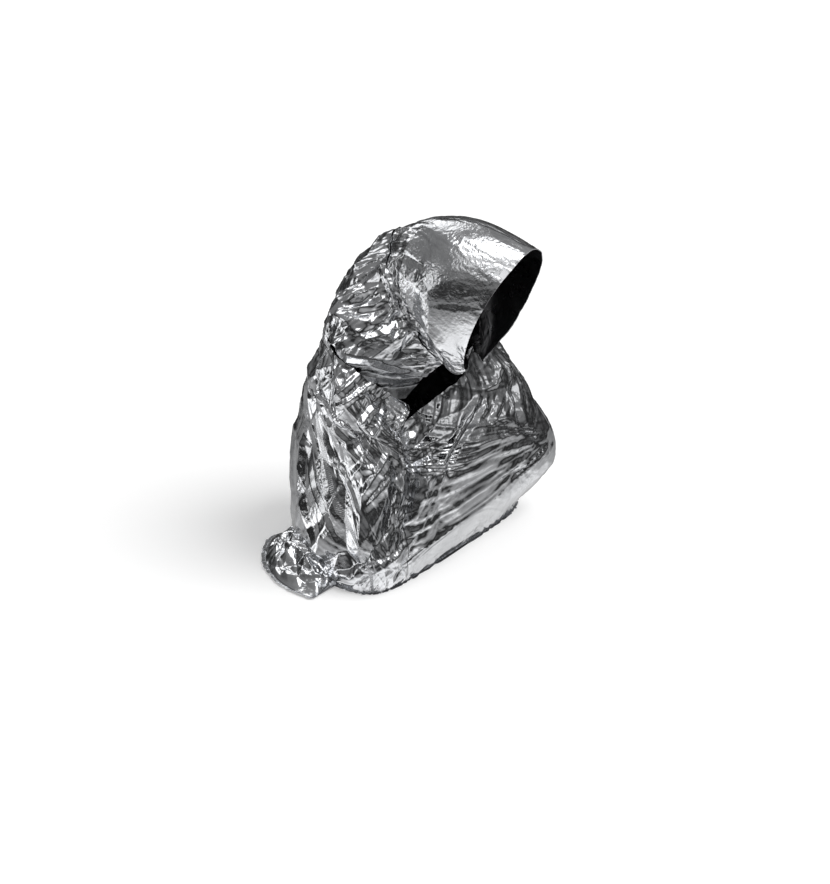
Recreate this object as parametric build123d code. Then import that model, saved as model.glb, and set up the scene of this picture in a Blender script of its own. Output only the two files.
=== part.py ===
"""Survival bivy sack of thin metallised film, worn wrapped round a seated figure.

The sack is one bent tube of film.  Oval rings run from the floor up the body to
the neck, then forward through the hood to the face rim.  Every film panel is a
patch of that tube, thickened inwards.  Panels of one body share their edges.
The hood, the two front flaps and the foot end are bodies of their own.

Frame: millimetres, +Z up, the wearer faces -Y, the wearer's right is -X, and
the origin lies on the floor inside the ground sheet.

Angles round the tube: 0 is the front, 90 the wearer's right, 180 the back.
Stations along the tube: 0 is the floor, 5 the neck, 7 the face rim.
"""

import math
import os
from typing import NamedTuple

from build123d import *

# Overall sizes
SACK_WIDTH = 640.0
SACK_DEPTH = 600.0
SACK_HEIGHT = 800.0

# Film and edges
FILM = 2.0
SEAM_WIDTH = 14.0
HEM_WIDTH = 16.0
GROUND_SEAM_OUT = 3.0
GROUND_SEAM_IN = 14.0

# Clearances between bodies
FLAP_GAP = 6.0
FLOOR_STATION = 0.06
NECK_CLEARANCE = 8.0
FOOT_GAP = 10.0
FOOT_FLOOR = 3.0

# Foot end
FOOT_HEIGHT = 66.0
FOOT_REACH = 80.0
FOOT_SEAL = 10.0

# The ring table below is drawn for these overall sizes
DRAWN_WIDTH = 640.0
DRAWN_DEPTH = 600.0
DRAWN_HEIGHT = 800.0

# One turn of film is about this far from its middle
MEAN_RADIUS = 270.0

# Rounds of settling a place that lies between two slanting edges
PLACE_TURNS = 6


class Ring(NamedTuple):
    """One oval section of the tube."""

    x: float
    y: float
    z: float
    pitch: float
    half_width: float
    front: float
    back: float
    front_power: float
    back_power: float


class Bulge(NamedTuple):
    """A soft swelling where a knee, elbow or shoulder pushes the film out."""

    angle: float
    station: float
    angle_spread: float
    station_spread: float
    height: float


RINGS = [
    Ring(-8, -145, FILM, 0, 306, 98, 308, 4.5, 1.6),
    Ring(-25, -128, 112, 3, 295, 155, 302, 3.5, 1.65),
    Ring(10, -108, 290, 11, 284, 198, 266, 2.8, 1.7),
    Ring(12, -100, 408, 25, 276, 164, 205, 2.4, 1.8),
    Ring(-10, -96, 513, 42, 204, 139, 171, 2.1, 1.9),
    Ring(0, -169, 606, 59, 121, 169, 169, 2.0, 2.0),
    Ring(0, -254, 624, 86, 137, 180, 176, 2.0, 2.0),
    Ring(0, -356, 616, 115.8, 109, 183, 168, 1.8, 1.8),
]

BULGES = [
    Bulge(-50, 1.2, 24, 0.8, 100),
    Bulge(-60, 2.8, 28, 0.8, 37),
    Bulge(75, 3.6, 28, 0.7, 20),
]

# Right side seam: angle at each station, from the floor to the cape
RIGHT_SEAM = [(0, 62), (0.6, 66), (1, 74), (1.3, 85), (1.8, 98), (2.4, 109), (3, 115), (3.8, 120)]
LEFT_SEAM = [(0, 262), (3.8, 262)]

# Front closure, offset to the wearer's right
CLOSURE = [(0, 24), (0.85, 32), (1.5, 43), (2.15, 48), (2.8, 45), (3.2, 38), (3.55, 30)]

# Edges given as station against angle
CAPE_RIGHT = [(30, 4.5), (44, 4.5), (62, 4.44), (80, 4.22), (98, 3.97), (120, 3.8)]
CAPE_LEFT = [(262, 3.8), (300, 3.98), (330, 3.86)]
CAPE_EDGE = CAPE_RIGHT + CAPE_LEFT
RIGHT_FLAP_TOP = [(30, 3.52), (44, 3.84), (62, 3.97), (83, 3.98), (98, 3.84), (120, 3.7)]
LEFT_FLAP_TOP = [
    (-98, 3.62), (-60, 3.82), (-22, 3.68), (0, 3.62),
    (14, 3.52), (29, 3.36), (38, 3.22), (46, 3.18),
]

CAPE_TOP = 4.80
NECK = 5.0
HOOD_START = 4.9
HOOD_CLEAR = 5.05
HOOD_FULL = 5.25
HEM_STATION = 6.93
RIM = 7.0
HOOD_THROAT_ANGLE = 22.0
CROWN_SEAM_ANGLE = 2.2
CAPE_THROAT_ANGLE = 30.0

# Widest spacing of the grid lines
ANGLE_STEP = 7.5
STATION_STEP = 0.24


def lookup(table, at):
    """Straight-line value of a two-column table."""
    if at <= table[0][0]:
        return table[0][1]
    for (x0, y0), (x1, y1) in zip(table, table[1:]):
        if at <= x1:
            return y0 + (y1 - y0) * (at - x0) / (x1 - x0)
    return table[-1][1]


def ring_at(station):
    """Ring values at any station, on a smooth cubic through the ring table."""
    last = len(RINGS) - 1
    index = min(int(station), last - 1)
    t = station - index
    here, ahead = RINGS[index], RINGS[index + 1]
    before = RINGS[index - 1] if index else [2 * a - b for a, b in zip(here, ahead)]
    after = RINGS[index + 2] if index + 2 <= last else [2 * b - a for a, b in zip(here, ahead)]
    values = []
    for p0, p1, p2, p3 in zip(before, here, ahead, after):
        slope = (p2 - p0) * t
        curve = (2 * p0 - 5 * p1 + 4 * p2 - p3) * t * t
        twist = (3 * p1 - p0 - 3 * p2 + p3) * t ** 3
        values.append(0.5 * (2 * p1 + slope + curve + twist))
    return Ring(*values)


def swelling(angle, station):
    """Outward push of all the bulges at one place."""
    total = 0.0
    for bulge in BULGES:
        turn = (angle - bulge.angle + 180.0) % 360.0 - 180.0
        across = (turn / bulge.angle_spread) ** 2
        along = ((station - bulge.station) / bulge.station_spread) ** 2
        total += bulge.height * math.exp(-across - along)
    return total


def skin(angle, station):
    """Point of the tube's outer surface."""
    ring = ring_at(station)
    turn = math.radians(angle)
    pitch = math.radians(ring.pitch)
    sine, cosine = math.sin(turn), -math.cos(turn)
    depth, power = (ring.back, ring.back_power) if cosine > 0 else (ring.front, ring.front_power)
    side = -ring.half_width * math.copysign(abs(sine) ** (2 / power), sine)
    reach = depth * math.copysign(abs(cosine) ** (2 / power), cosine)
    spoke = Vector(side, reach * math.cos(pitch), reach * math.sin(pitch))
    push = swelling(angle, station) * min(1.0, station / 0.4)
    place = Vector(ring.x, ring.y, ring.z) + spoke + spoke.normalized() * push
    return Vector(
        place.X * SACK_WIDTH / DRAWN_WIDTH,
        place.Y * SACK_DEPTH / DRAWN_DEPTH,
        FILM + (place.Z - FILM) * SACK_HEIGHT / DRAWN_HEIGHT,
    )


def outward(angle, station):
    """Unit normal of the tube, level along the floor line."""
    low = max(station - 0.02, 0.0)
    high = min(station + 0.02, RIM)
    round_way = skin(angle + 0.5, station) - skin(angle - 0.5, station)
    along = skin(angle, high) - skin(angle, low)
    normal = along.cross(round_way).normalized()
    if station == 0:
        normal = Vector(normal.X, normal.Y, 0).normalized()
    return normal


def film_point(angle, station, lift=0.0):
    """Point held off the tube by a distance, outwards when positive."""
    return skin(angle, station) + outward(angle, station) * lift


def triangle(a, b, c):
    """Flat three-sided face."""
    return Face(Wire.make_polygon([a, b, c], close=True))


def order_key(point):
    """Rounded position, used to pick the same diagonal on both sides of a shared edge."""
    return (round(point.X, 4), round(point.Y, 4), round(point.Z, 4))


def edge_faces(outer_a, outer_b, inner_a, inner_b):
    """Two faces closing the film's cut edge between a pair of corners."""
    if order_key(outer_a) < order_key(outer_b):
        return [triangle(outer_a, outer_b, inner_b), triangle(outer_a, inner_b, inner_a)]
    return [triangle(outer_a, outer_b, inner_a), triangle(outer_b, inner_b, inner_a)]


def film_solid(outer, inner):
    """Closed sheet of film between an outer and an inner grid of points."""
    rows, columns = len(outer), len(outer[0])
    faces = []
    for grid in (outer, inner):
        for i in range(rows - 1):
            for j in range(columns - 1):
                a, b = grid[i][j], grid[i][j + 1]
                c, d = grid[i + 1][j + 1], grid[i + 1][j]
                faces.append(triangle(a, b, c))
                faces.append(triangle(a, c, d))
    border = [(0, j) for j in range(columns)]
    border += [(i, columns - 1) for i in range(1, rows)]
    border += [(rows - 1, j) for j in range(columns - 2, -1, -1)]
    border += [(i, 0) for i in range(rows - 2, 0, -1)]
    for (i, j), (k, m) in zip(border, border[1:] + border[:1]):
        faces += edge_faces(outer[i][j], outer[k][m], inner[i][j], inner[k][m])
    return Solid(Shell(faces))


def spread(start, stop, step):
    """Even positions from start to stop, no further apart than the step."""
    count = max(1, math.ceil(abs(stop - start) / step - 1e-6))
    return [start + (stop - start) * i / count for i in range(count + 1)]


def no_lift(angle, station):
    """Film that lies on the tube."""
    return 0.0


def patch(places, lift=no_lift):
    """Film panel over a grid of (angle, station) places."""
    outer = [[film_point(a, s, lift(a, s)) for a, s in row] for row in places]
    inner = [[film_point(a, s, lift(a, s) - FILM) for a, s in row] for row in places]
    return film_solid(outer, inner)


def turn_of(width):
    """Angle taken up by a width along the film."""
    return math.degrees(width / MEAN_RADIUS)


def upright_panel(left, right, bottom, top, columns, rows):
    """Grid of places between two side edges and two end edges.

    The side edges give an angle at each station; the top gives a station at each angle.
    Each place is found by turns, as its angle and its station depend on one another.
    """
    places = []
    for i in range(rows + 1):
        share = i / rows
        row = []
        for j in range(columns + 1):
            across = j / columns
            start_angle = left(bottom) + (right(bottom) - left(bottom)) * across
            station = bottom + (top(start_angle) - bottom) * share
            for _ in range(PLACE_TURNS):
                angle = left(station) + (right(station) - left(station)) * across
                station = bottom + (top(angle) - bottom) * share
            row.append((angle, station))
        places.append(row)
    return places


# Sides of the body ----------------------------------------------------------


def seam_side(table, turn):
    """Side edge that follows a seam at a fixed angle from it."""
    return lambda station: lookup(table, station) + turn


BODY_ROWS = 15
BACK_COLUMNS = 22
BACK_TOP = CAPE_LEFT[0][1]


def back_top(angle):
    """Level top edge of the back, under the cape."""
    return BACK_TOP


def back_panel():
    """Large sheet over the back and both hips, up to the cape."""
    left = seam_side(RIGHT_SEAM, turn_of(SEAM_WIDTH))
    right = seam_side(LEFT_SEAM, 0.0)
    return patch(upright_panel(left, right, 0.0, back_top, BACK_COLUMNS, BODY_ROWS))


def side_seam_right():
    """Heat-sealed seam down the wearer's right side."""
    left = seam_side(RIGHT_SEAM, 0.0)
    right = seam_side(RIGHT_SEAM, turn_of(SEAM_WIDTH))
    return patch(upright_panel(left, right, 0.0, back_top, 1, BODY_ROWS))


def side_seam_left():
    """Heat-sealed seam down the wearer's left side."""
    left = seam_side(LEFT_SEAM, 0.0)
    right = seam_side(LEFT_SEAM, turn_of(SEAM_WIDTH))
    return patch(upright_panel(left, right, 0.0, back_top, 1, BODY_ROWS))


# Shoulders and neck ---------------------------------------------------------


def cape_angles(side):
    """Angles of the cape's columns, from the throat to the middle of the back."""
    stop = 180.0 - CROWN_SEAM_ANGLE
    angles = spread(CAPE_THROAT_ANGLE, stop, ANGLE_STEP)
    return angles if side > 0 else [360.0 - angle for angle in reversed(angles)]


def band_places(angles, low, high, rows):
    """Grid of places between a low edge and a level top edge."""
    return [
        [(angle, low(angle) + (high - low(angle)) * i / rows) for angle in angles]
        for i in range(rows + 1)
    ]


CAPE_ROWS = 5
COLLAR_ROWS = 2

# Inner leaf: its span of angles, its depth in stations and how far it sinks below the flap
LEAF_FIRST_ANGLE = 29.0
LEAF_LAST_ANGLE = 104.0
LEAF_DEPTH = 0.75
LEAF_SINK = 16.0
LEAF_DROPS = (1.0, 0.75, 0.5, 0.25, 0.0)


def cape_edge(angle):
    """Station of the cape's free edge."""
    return lookup(CAPE_EDGE, angle)


def shoulder_cape(side):
    """Turned-down yoke over one shoulder."""
    return patch(band_places(cape_angles(side), cape_edge, CAPE_TOP, CAPE_ROWS))


def yoke_seam():
    """Centre-back seam that joins the two cape halves."""
    angles = [180.0 - CROWN_SEAM_ANGLE, 180.0 + CROWN_SEAM_ANGLE]
    return patch(band_places(angles, cape_edge, CAPE_TOP, CAPE_ROWS))


def collar_foot(angle):
    """Station where the neck band starts."""
    return CAPE_TOP


def collar(side):
    """Gathered neck band over one side, level with the hood's foot."""
    return patch(band_places(cape_angles(side), collar_foot, NECK, COLLAR_ROWS))


def nape_tab():
    """Short joint of the neck band at the nape."""
    angles = [180.0 - CROWN_SEAM_ANGLE, 180.0 + CROWN_SEAM_ANGLE]
    return patch(band_places(angles, collar_foot, NECK, COLLAR_ROWS))


def throat_leaf():
    """Inner layer that shows between the cape and the right flap.

    It hangs from one row above the cape's edge, and sinks inwards below that edge.
    """
    angles = [angle for angle in cape_angles(1) if LEAF_FIRST_ANGLE < angle < LEAF_LAST_ANGLE]
    outer, inner = [], []
    for drop in LEAF_DROPS + (-1.0 / CAPE_ROWS,):
        outer_row, inner_row = [], []
        for angle in angles:
            edge = cape_edge(angle)
            depth = LEAF_DEPTH if drop > 0 else CAPE_TOP - edge
            sink = LEAF_SINK * min(1.0, max(0.0, drop) * 2)
            place = (angle, edge - depth * drop)
            outer_row.append(film_point(*place, -FILM - sink))
            inner_row.append(film_point(*place, -2 * FILM - sink))
        outer.append(outer_row)
        inner.append(inner_row)
    return film_solid(outer, inner)


# Hood -----------------------------------------------------------------------


def hood_lift(angle, station):
    """The hood's foot slips inside the collar; above it the film is full size."""
    tucked = -(FILM + NECK_CLEARANCE)
    share = (station - HOOD_CLEAR) / (HOOD_FULL - HOOD_CLEAR)
    return tucked * (1.0 - min(1.0, max(0.0, share)))


HOOD_TUCK = (HOOD_START + HOOD_CLEAR) / 2
HOOD_STATIONS = [HOOD_START, HOOD_TUCK, HOOD_CLEAR] + spread(HOOD_FULL, HEM_STATION, STATION_STEP)


def hood_angles(side):
    """Angles of the hood's columns, from the throat to the crown seam."""
    angles = spread(HOOD_THROAT_ANGLE, 180.0 - CROWN_SEAM_ANGLE, ANGLE_STEP)
    return angles if side > 0 else [360.0 - angle for angle in reversed(angles)]


def hood_strip(angles, stations):
    """Part of the hood over the given angles and stations."""
    return patch([[(angle, station) for angle in angles] for station in stations], hood_lift)


def hood_panel(side):
    """One half of the hood."""
    return hood_strip(hood_angles(side), HOOD_STATIONS)


def hood_crown_seam():
    """Seam over the crown, from nape to brow."""
    angles = [180.0 - CROWN_SEAM_ANGLE, 180.0 + CROWN_SEAM_ANGLE]
    return hood_strip(angles, HOOD_STATIONS + [RIM])


def hood_rim_hem(side):
    """Folded hem round one half of the face opening."""
    return hood_strip(hood_angles(side), [HEM_STATION, RIM])


# Front flaps ----------------------------------------------------------------


def closure_side(turn):
    """Side edge that follows the front closure at a fixed angle from it."""
    return lambda station: lookup(CLOSURE, station) + turn


def right_flap_top(angle):
    """Station of the right flap's top edge."""
    return lookup(RIGHT_FLAP_TOP, angle)


def left_flap_top(angle):
    """Station of the left flap's top edge."""
    return lookup(LEFT_FLAP_TOP, angle)


FLAP_ROWS = 14
RIGHT_FLAP_COLUMNS = 8
LEFT_FLAP_COLUMNS = 18


def right_front_panel():
    """Front flap over the wearer's right thigh."""
    left = closure_side(turn_of(FLAP_GAP / 2 + HEM_WIDTH))
    right = seam_side(RIGHT_SEAM, -turn_of(FLAP_GAP))
    return patch(upright_panel(left, right, FLOOR_STATION, right_flap_top, RIGHT_FLAP_COLUMNS, FLAP_ROWS))


def right_front_hem():
    """Folded hem along the right flap's free edge."""
    left = closure_side(turn_of(FLAP_GAP / 2))
    right = closure_side(turn_of(FLAP_GAP / 2 + HEM_WIDTH))
    return patch(upright_panel(left, right, FLOOR_STATION, right_flap_top, 1, FLAP_ROWS))


def left_front_panel():
    """Wide front flap over the wearer's left thigh and lap."""
    left = seam_side(LEFT_SEAM, turn_of(SEAM_WIDTH + FLAP_GAP) - 360.0)
    right = closure_side(-turn_of(FLAP_GAP / 2 + HEM_WIDTH))
    return patch(upright_panel(left, right, FLOOR_STATION, left_flap_top, LEFT_FLAP_COLUMNS, FLAP_ROWS))


def left_front_hem():
    """Folded hem along the left flap's free edge."""
    left = closure_side(-turn_of(FLAP_GAP / 2 + HEM_WIDTH))
    right = closure_side(-turn_of(FLAP_GAP / 2))
    return patch(upright_panel(left, right, FLOOR_STATION, left_flap_top, 1, FLAP_ROWS))


# Ground sheet ---------------------------------------------------------------


GROUND_STEP = 5


def ground_outline(lift):
    """Closed outline of the floor line, held off by a distance."""
    points = [film_point(angle, 0.0, lift) for angle in range(0, 360, GROUND_STEP)]
    return [Vector(point.X, point.Y, 0.0) for point in points]


def flat_sheet(outline, bottom, thickness):
    """Level sheet of film over an outline."""
    face = Face(Wire.make_polygon([Vector(p.X, p.Y, bottom) for p in outline], close=True))
    return extrude(face, amount=thickness, dir=(0, 0, 1)).solid()


def ground_panel():
    """Sheet the wearer sits on."""
    return flat_sheet(ground_outline(-GROUND_SEAM_IN), 0.0, FILM)


def ground_seam():
    """Sealed ring that joins the ground sheet to the walls."""
    whole = flat_sheet(ground_outline(GROUND_SEAM_OUT), 0.0, FILM)
    return (whole - ground_panel()).solid()


# Foot end -------------------------------------------------------------------

# The foot end leaves the wall between two angles, at one station
FOOT_FIRST_ANGLE = 93.0
FOOT_LAST_ANGLE = 148.0
FOOT_STATION = 0.75
FOOT_COLUMNS = 14
FOOT_ROWS = 6

# Its outline: narrowest share of the reach, where its round starts, and the slant of its front
FOOT_NARROW = 0.34
FOOT_ROUND_START = 0.14
FOOT_SLANT = 34.0

# Powers of its rounded outline and arch, and of its slope down to the outer edge
FOOT_ROUND_POWER = 0.6
FOOT_SLOPE_POWER = 1.8


def foot_root(share):
    """Place beside the wall where the foot end starts."""
    angle = FOOT_FIRST_ANGLE + (FOOT_LAST_ANGLE - FOOT_FIRST_ANGLE) * share
    point = film_point(angle, FOOT_STATION, FOOT_GAP)
    return Vector(point.X, point.Y, 0.0)


def half_wave(share):
    """Rounded arch: nothing at either end, and 1 in the middle."""
    if share <= 0.0 or share >= 1.0:
        return 0.0
    return math.sin(math.pi * share) ** FOOT_ROUND_POWER


def foot_edge(share, extra=0.0):
    """Place on the outer edge of the foot end."""
    start, stop = foot_root(0.0), foot_root(1.0)
    chord = (stop - start).normalized()
    away = Vector(-chord.Y, chord.X, 0.0)
    swing = FOOT_ROUND_START + (1.0 - FOOT_ROUND_START) * share
    fullness = FOOT_NARROW + (1.0 - FOOT_NARROW) * half_wave(swing)
    slant = FOOT_SLANT * (1.0 - share) ** 2
    return foot_root(share) + away * (FOOT_REACH * fullness + extra) - chord * slant


def foot_upper():
    """Domed top sheet of the empty foot end, thickened towards the middle of its root."""
    base = FOOT_FLOOR + FILM
    middle = (foot_root(0.0) + foot_root(1.0)) * 0.5
    heart = Vector(middle.X, middle.Y, base)
    outer = []
    for i in range(FOOT_ROWS + 1):
        out = i / FOOT_ROWS
        row = []
        for j in range(FOOT_COLUMNS + 1):
            share = j / FOOT_COLUMNS
            plan = foot_root(share) * (1.0 - out) + foot_edge(share) * out
            rise = FOOT_HEIGHT * half_wave(share) * (1.0 - out ** FOOT_SLOPE_POWER)
            row.append(Vector(plan.X, plan.Y, base + rise))
        outer.append(row)
    shrink = 1.0 - FILM / FOOT_HEIGHT
    inner = [[heart + (point - heart) * shrink for point in row] for row in outer]
    return film_solid(outer, inner)


def foot_lower():
    """Flat bottom sheet of the foot end."""
    shares = [j / FOOT_COLUMNS for j in range(FOOT_COLUMNS + 1)]
    outline = [foot_root(share) for share in shares]
    outline += [foot_edge(share) for share in reversed(shares)]
    return flat_sheet(outline, FOOT_FLOOR, FILM)


def foot_seal():
    """Flat sealed strip round the foot end's outer edge."""
    shares = [j / FOOT_COLUMNS for j in range(FOOT_COLUMNS + 1)]
    outline = [foot_edge(share) for share in shares]
    outline += [foot_edge(share, FOOT_SEAL) for share in reversed(shares)]
    return flat_sheet(outline, FOOT_FLOOR, FILM)


PARTS = {
    "back_panel": back_panel,
    "side_seam_right": side_seam_right,
    "side_seam_left": side_seam_left,
    "ground_panel": ground_panel,
    "ground_seam": ground_seam,
    "shoulder_cape_right": lambda: shoulder_cape(1),
    "shoulder_cape_left": lambda: shoulder_cape(-1),
    "yoke_seam": yoke_seam,
    "collar_right": lambda: collar(1),
    "collar_left": lambda: collar(-1),
    "nape_tab": nape_tab,
    "throat_leaf": throat_leaf,
    "hood_panel_right": lambda: hood_panel(1),
    "hood_panel_left": lambda: hood_panel(-1),
    "hood_crown_seam": hood_crown_seam,
    "hood_rim_hem_right": lambda: hood_rim_hem(1),
    "hood_rim_hem_left": lambda: hood_rim_hem(-1),
    "right_front_panel": right_front_panel,
    "right_front_hem": right_front_hem,
    "left_front_panel": left_front_panel,
    "left_front_hem": left_front_hem,
    "foot_end_upper": foot_upper,
    "foot_end_lower": foot_lower,
    "foot_end_seal": foot_seal,
}


def main():
    """Write one file for each part."""
    os.makedirs("parts", exist_ok=True)
    for name, make in PARTS.items():
        export_step(make(), f"parts/{name}.step")


if __name__ == "__main__":
    main()
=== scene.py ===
"""Looks of a survival bivy sack: crumpled metallised film worn round a seated figure.

The film is one bent tube of oval rings.  Every panel is a grid on that tube, in
angle round it and station along it, pushed out or in by folds, facets and
crinkles that are worked out as whole arrays.
"""

import logging
import math
from dataclasses import dataclass, field
from enum import Enum
from typing import Callable, Sequence

import bpy
import numpy as np
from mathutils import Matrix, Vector
from mathutils.geometry import delaunay_2d_cdt


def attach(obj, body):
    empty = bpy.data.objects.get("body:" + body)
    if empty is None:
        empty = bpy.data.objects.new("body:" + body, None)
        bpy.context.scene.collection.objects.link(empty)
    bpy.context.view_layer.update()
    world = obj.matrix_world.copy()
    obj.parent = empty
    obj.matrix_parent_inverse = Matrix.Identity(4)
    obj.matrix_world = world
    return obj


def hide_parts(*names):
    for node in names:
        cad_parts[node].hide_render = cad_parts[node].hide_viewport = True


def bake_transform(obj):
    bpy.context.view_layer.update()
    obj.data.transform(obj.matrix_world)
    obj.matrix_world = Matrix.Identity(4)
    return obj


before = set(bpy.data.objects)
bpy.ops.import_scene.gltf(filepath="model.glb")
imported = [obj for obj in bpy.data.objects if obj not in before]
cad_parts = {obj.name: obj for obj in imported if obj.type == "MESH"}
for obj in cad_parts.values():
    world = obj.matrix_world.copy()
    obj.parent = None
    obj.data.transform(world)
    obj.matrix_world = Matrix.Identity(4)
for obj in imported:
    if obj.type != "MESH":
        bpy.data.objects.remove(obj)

LOG = logging.getLogger("bivy_sack")
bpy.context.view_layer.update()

Array = np.ndarray
Table = Sequence[tuple[float, float]]

FILM_THICKNESS = 0.0005
SEAL_THICKNESS = 0.0008
SEAL_WIDTH = 0.014
FLOOR_CLEARANCE = 0.0015
MEAN_RADIUS = 0.27
STATION_LENGTH = 0.135
NECK = 5.0
RIM = 7.0
SETTLING_ROUNDS = 12
RIB_SCALE = 0.314

# Angle of each seam or free edge, against station along the tube
RIGHT_SEAM: Table = ((0, 62), (0.6, 66), (1, 74), (1.3, 85), (1.8, 98), (2.4, 109), (3, 115), (3.8, 120))
CLOSURE: Table = ((0, 24), (0.85, 32), (1.5, 43), (2.15, 48), (2.8, 45), (3.2, 38), (3.55, 30))
LEFT_SEAM_ANGLE = -98.0
LEFT_SEAM_BEHIND = LEFT_SEAM_ANGLE + 360.0

# Station of each top or bottom edge, against angle round the tube
CAPE_RIGHT: Table = (
    (30, 4.5), (44, 4.5), (62, 4.44), (80, 4.22), (98, 3.95),
    (108, 3.86), (120, 3.74), (135, 3.76), (180, 3.8),
)
CAPE_LEFT: Table = ((-180, 3.8), (-98, 3.8), (-60, 3.98), (-30, 3.86))
LEAF_EDGE: Table = ((3.6, 34), (4.0, 16), (4.25, 13), (4.45, 24), (4.8, 28))
RIGHT_FLAP_TOP: Table = ((30, 3.52), (44, 3.84), (62, 3.97), (83, 3.98), (98, 3.84), (120, 3.7))
LEFT_FLAP_TOP: Table = (
    (-98, 3.72), (-60, 3.91), (-30, 3.79), (-18, 3.69), (0, 3.62),
    (14, 3.52), (29, 3.36), (38, 3.22), (46, 3.18),
)


class FoldKind(Enum):
    """Cross-section of a fold line."""

    RIDGE = "ridge"
    VALLEY = "valley"
    ROLL = "roll"
    LAP = "lap"


class Side(Enum):
    """Which half of a paired panel."""

    RIGHT = "right"
    LEFT = "left"

    def span(self, throat: float, back: float) -> tuple[float, float]:
        """First and last angle of the half between the throat and the back."""
        return (throat, back) if self is Side.RIGHT else (-back, -throat)


def table_value(table: Table, at: Array) -> Array:
    """Straight-line value of a two-column table.

    Args:
        table: Pairs of place and value, rising by place.
        at: Places to read.

    Returns:
        The value at each place.
    """
    columns = np.asarray(table, float)
    return np.interp(at, columns[:, 0], columns[:, 1])


def smooth(low: float, high: float, value: Array) -> Array:
    """Soft step from 0 at low to 1 at high: 3t squared less 2t cubed."""
    t = np.clip((value - low) / (high - low), 0.0, 1.0)
    return t * t * (3.0 - 2.0 * t)


def turn_off(angle: Array, middle: float) -> Array:
    """Turn from a middle angle, brought between -180 and 180 degrees."""
    return (angle - middle + 180.0) % 360.0 - 180.0


def compass(azimuth: float, elevation: float) -> Vector:
    """Unit vector at a compass bearing and a height, both in degrees."""
    a, e = math.radians(azimuth), math.radians(elevation)
    return Vector((math.sin(a) * math.cos(e), -math.cos(a) * math.cos(e), math.sin(e)))


def even_grid(across: tuple[float, float, int], down: tuple[float, float, int]) -> tuple[Array, Array]:
    """Grid of even steps along each row and down each column, from start, stop and count."""
    first, second = np.meshgrid(np.linspace(*across), np.linspace(*down))
    return first, second


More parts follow.
